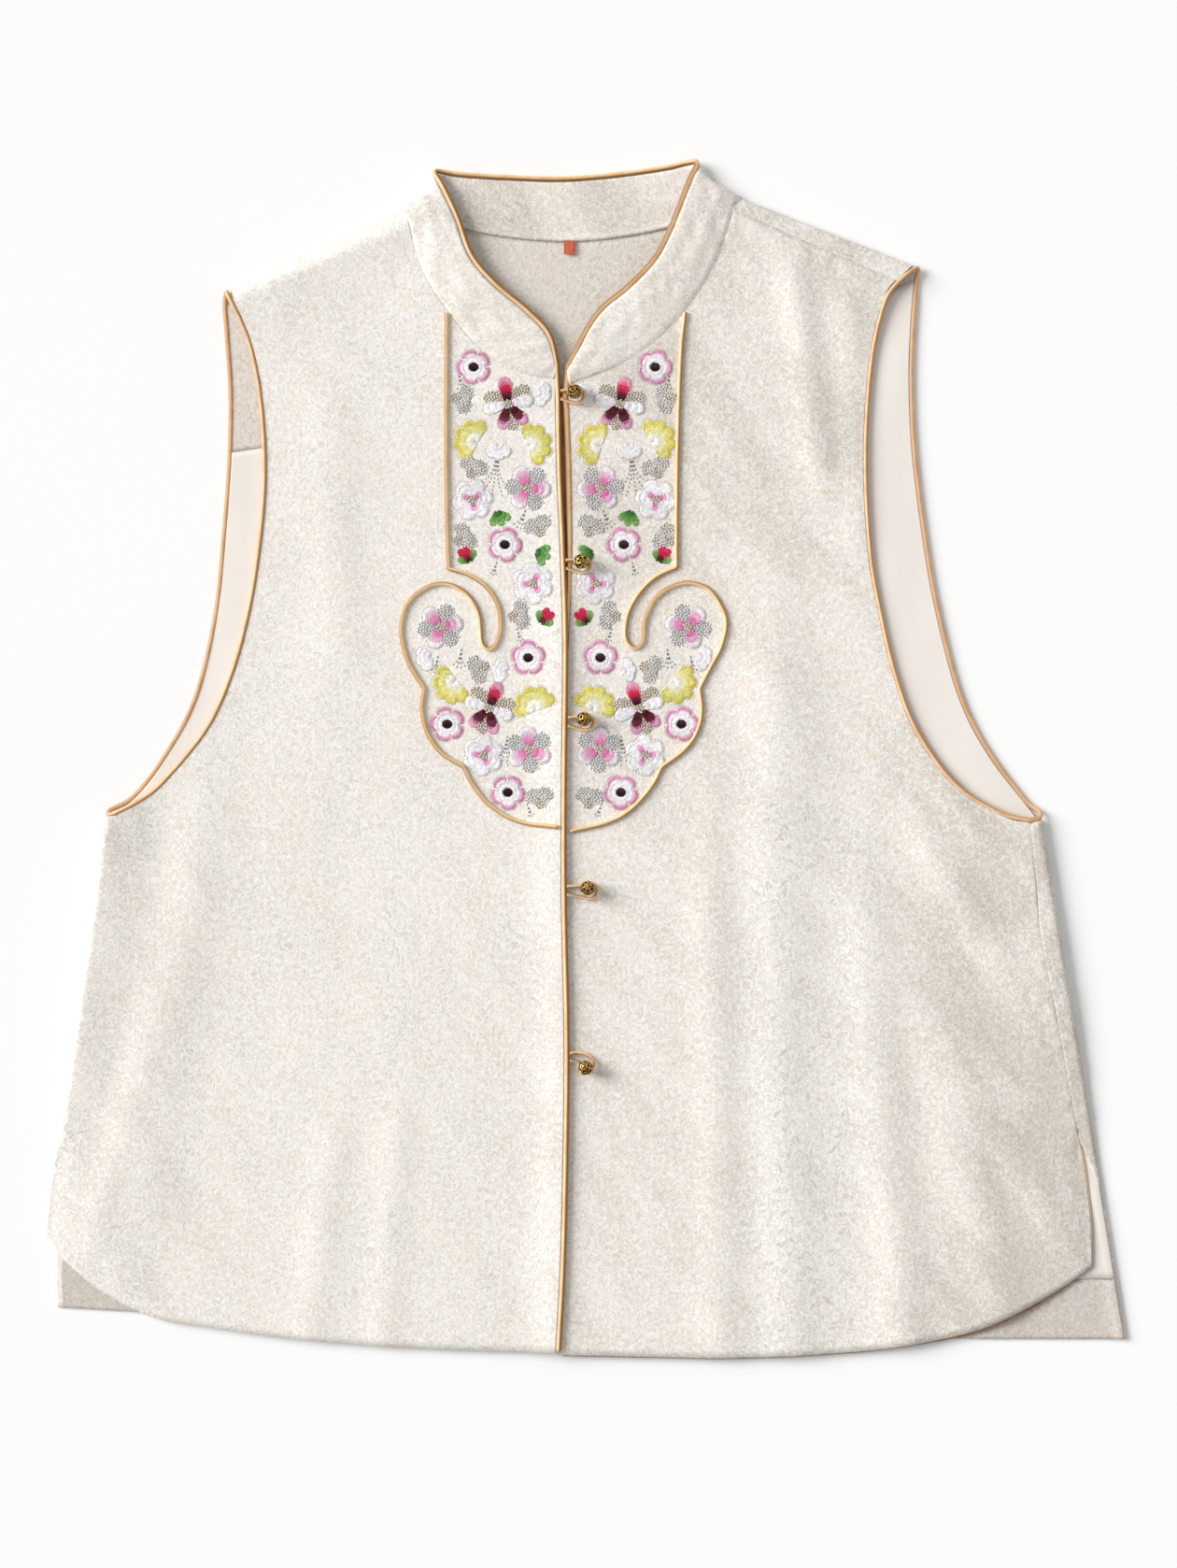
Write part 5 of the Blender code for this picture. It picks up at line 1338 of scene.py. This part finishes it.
# painted shade: the core is near-black, standing in for the shade inside the hollow ball
core_brass = brass("button_hollow", (0.035, 0.02, 0.008), (0.012, 0.007, 0.003), 0.6)
for number in range(1, 6):
    low, high = corners(f"button_{number}")
    centre = Vector(((low[0] + high[0]) / 2, (low[1] + high[1]) / 2, high[2] - BALL))
    for part, finish in (("cage", cage_brass), ("core", core_brass)):
        mesh = bmesh.new()
        if part == "cage":
            bmesh.ops.create_uvsphere(mesh, u_segments=7, v_segments=6, radius=(BALL - 0.32) * MM)
            bmesh.ops.wireframe(
                mesh, faces=mesh.faces, thickness=BALL_RIB * MM, use_replace=True, use_even_offset=True,
            )
        else:
            bmesh.ops.create_uvsphere(mesh, u_segments=20, v_segments=12, radius=(BALL - 1.0) * MM)
        lean = Euler((0.35, -0.25, 0.9 * number)).to_matrix()
        bmesh.ops.rotate(mesh, verts=mesh.verts, matrix=lean)
        bmesh.ops.translate(mesh, verts=mesh.verts, vec=centre * MM)
        name = f"button_{number}_{part}"
        piece = sew_on(name, as_mesh(name, mesh), finish)
        if part == "cage":
            rounding = piece.modifiers.new("rounding", "SUBSURF")
            rounding.levels = rounding.render_levels = 2
            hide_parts(f"button_{number}")


# The loops: lengths of the gold cord caught in the right front's edge. Each comes over to its button,
# goes round under the ball and returns; the lowest one arches over its ball instead.
LOOP_RADIUS = 0.85
LOOP_LIFT = 1.3
LOOP_RUN = (
    (-3.4, 1.1), (-2.0, 2.3), (0.6, 2.8), (3.2, 1.6), (4.9, -1.0), (4.0, -4.0), (0.9, -5.4), (-3.0, -4.6),
)
ARCH_RUN = (
    (-4.6, 7.4), (-1.2, 6.9), (2.2, 5.2), (4.3, 2.6), (3.6, -0.6), (1.0, -2.2), (-2.0, -0.6), (-3.8, 2.4),
)

loop_satin = satin("loop_satin", (0.90, 0.66, 0.40), (0.76, 0.47, 0.20), (0.55, 0.30, 0.10), LOOP_RADIUS)
for number in range(1, 6):
    low, high = corners(f"button_{number}")
    x, y = (low[:2] + high[:2]) / 2
    under = low[2] + LOOP_LIFT
    run, legs = (ARCH_RUN, (7.0, 3.6)) if number == 5 else (LOOP_RUN, (0.8, -3.2))
    points = [(x + step_x, y + step_y, under) for step_x, step_y in run]
    for at, leg in ((0, legs[0]), (len(points) + 1, legs[1])):
        edge = float(front_edge[-1].width(y + leg)) + PIPING_RADIUS + 0.1
        bridge = max(float(edge_height(-1, np.array(y + leg))), EDGE_Z + PIPING_RADIUS + LOOP_RADIUS + 0.6)
        points.insert(at, (edge, y + leg, bridge))
    loop = rope(
        f"button_loop_{number}", Line(points).at(np.linspace(0.0, 1.0, 90)), LOOP_RADIUS, loop_satin,
        sides=10,
    )
    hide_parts(f"loop_{number}")


# The label: a small plain red woven tab, sewn by its top edge to the neck facing. It carries no mark.
LABEL_CLOTH = 0.45
low, high = corners("label")
tab_x, tab_y = np.meshgrid(np.linspace(low[0], high[0], 26), np.linspace(low[1], high[1], 33))
tab = Finish("label_red", Sheen_Weight=0.2)
x, y, _ = tab.place("cloth")
ribs = (y * (2 * math.pi / 0.34)).maths("SINE")
threads = (x * (2 * math.pi / 0.28)).maths("SINE") * ribs
selvedge = (x - (low[0] + high[0]) / 2).maths("ABSOLUTE").steps(2.0, 2.2)
colour = tab.mix(tab.noise(x, y, 1.2).steps(0.3, 0.7), (0.62, 0.07, 0.02), (0.76, 0.16, 0.06))
tab.set("Base Color", tab.mix(selvedge * 0.5 + threads * 0.12, colour, (0.42, 0.03, 0.01)))
tab.set("Roughness", 0.55 + threads * 0.08)
tab.relief(ribs + threads, 0.06, 0.6)


def lay_label(x, y):
    lift = 0.25 * smoothstep(high[1] - 1.2, low[1], y) * (1 + 0.4 * np.sin(x * 1.3))
    return np.stack((x, y, (low[2] + high[2]) / 2 + lift), -1)


label = cloth("label_tab", np.stack((tab_x, tab_y), -1), lay_label, tab.material, LABEL_CLOTH)
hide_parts("label")


# The table: a plain pale top, lit by one broad soft light from the upper left and the white room.
TABLE_TOP = 1.6
ROOM_LIGHT = 0.46
WINDOW_LIGHT = 3.35
WINDOW_SPREAD = 34
WINDOW_WAY = (1.0, -0.36, -0.62)
CAMERA_AT = (0.00096, -0.0127, 1.902)
mesh = bmesh.new()
bmesh.ops.create_grid(mesh, x_segments=1, y_segments=1, size=TABLE_TOP)
data = bpy.data.meshes.new("floor")
mesh.to_mesh(data)
mesh.free()
floor = bpy.data.objects.new("floor", data)
bpy.context.scene.collection.objects.link(floor)
paint = Finish("table_top", Roughness=0.9)
x, y, _ = paint.place()
paint.set("Base Color", paint.mix(paint.noise(x, y, 300.0), (0.97, 0.97, 0.97), (0.985, 0.985, 0.985)))
data.materials.append(paint.material)
floor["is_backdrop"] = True

world = bpy.data.worlds.new("room")
world.use_nodes = True
world.node_tree.nodes["Background"].inputs["Color"].default_value = (1.0, 1.0, 1.0, 1.0)
world.node_tree.nodes["Background"].inputs["Strength"].default_value = ROOM_LIGHT
bpy.context.scene.world = world
lamp = bpy.data.lights.new("window", "SUN")
lamp.energy = WINDOW_LIGHT
lamp.angle = math.radians(WINDOW_SPREAD)
window = bpy.data.objects.new("window", lamp)
window.rotation_euler = Vector(WINDOW_WAY).to_track_quat("-Z", "Y").to_euler()
bpy.context.scene.collection.objects.link(window)

lens = bpy.data.cameras.new("camera")
lens.lens = 85.0
camera = bpy.data.objects.new("camera", lens)
camera.location = CAMERA_AT
bpy.context.scene.collection.objects.link(camera)
bpy.context.scene.camera = camera
bpy.context.scene.view_settings.view_transform = "Standard"

bpy.context.view_layer.update()
boxes = {
    name: [[float(value) for value in corner] for corner in box]
    for name, box in (("cad", cad_box), ("visual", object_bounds()))
}
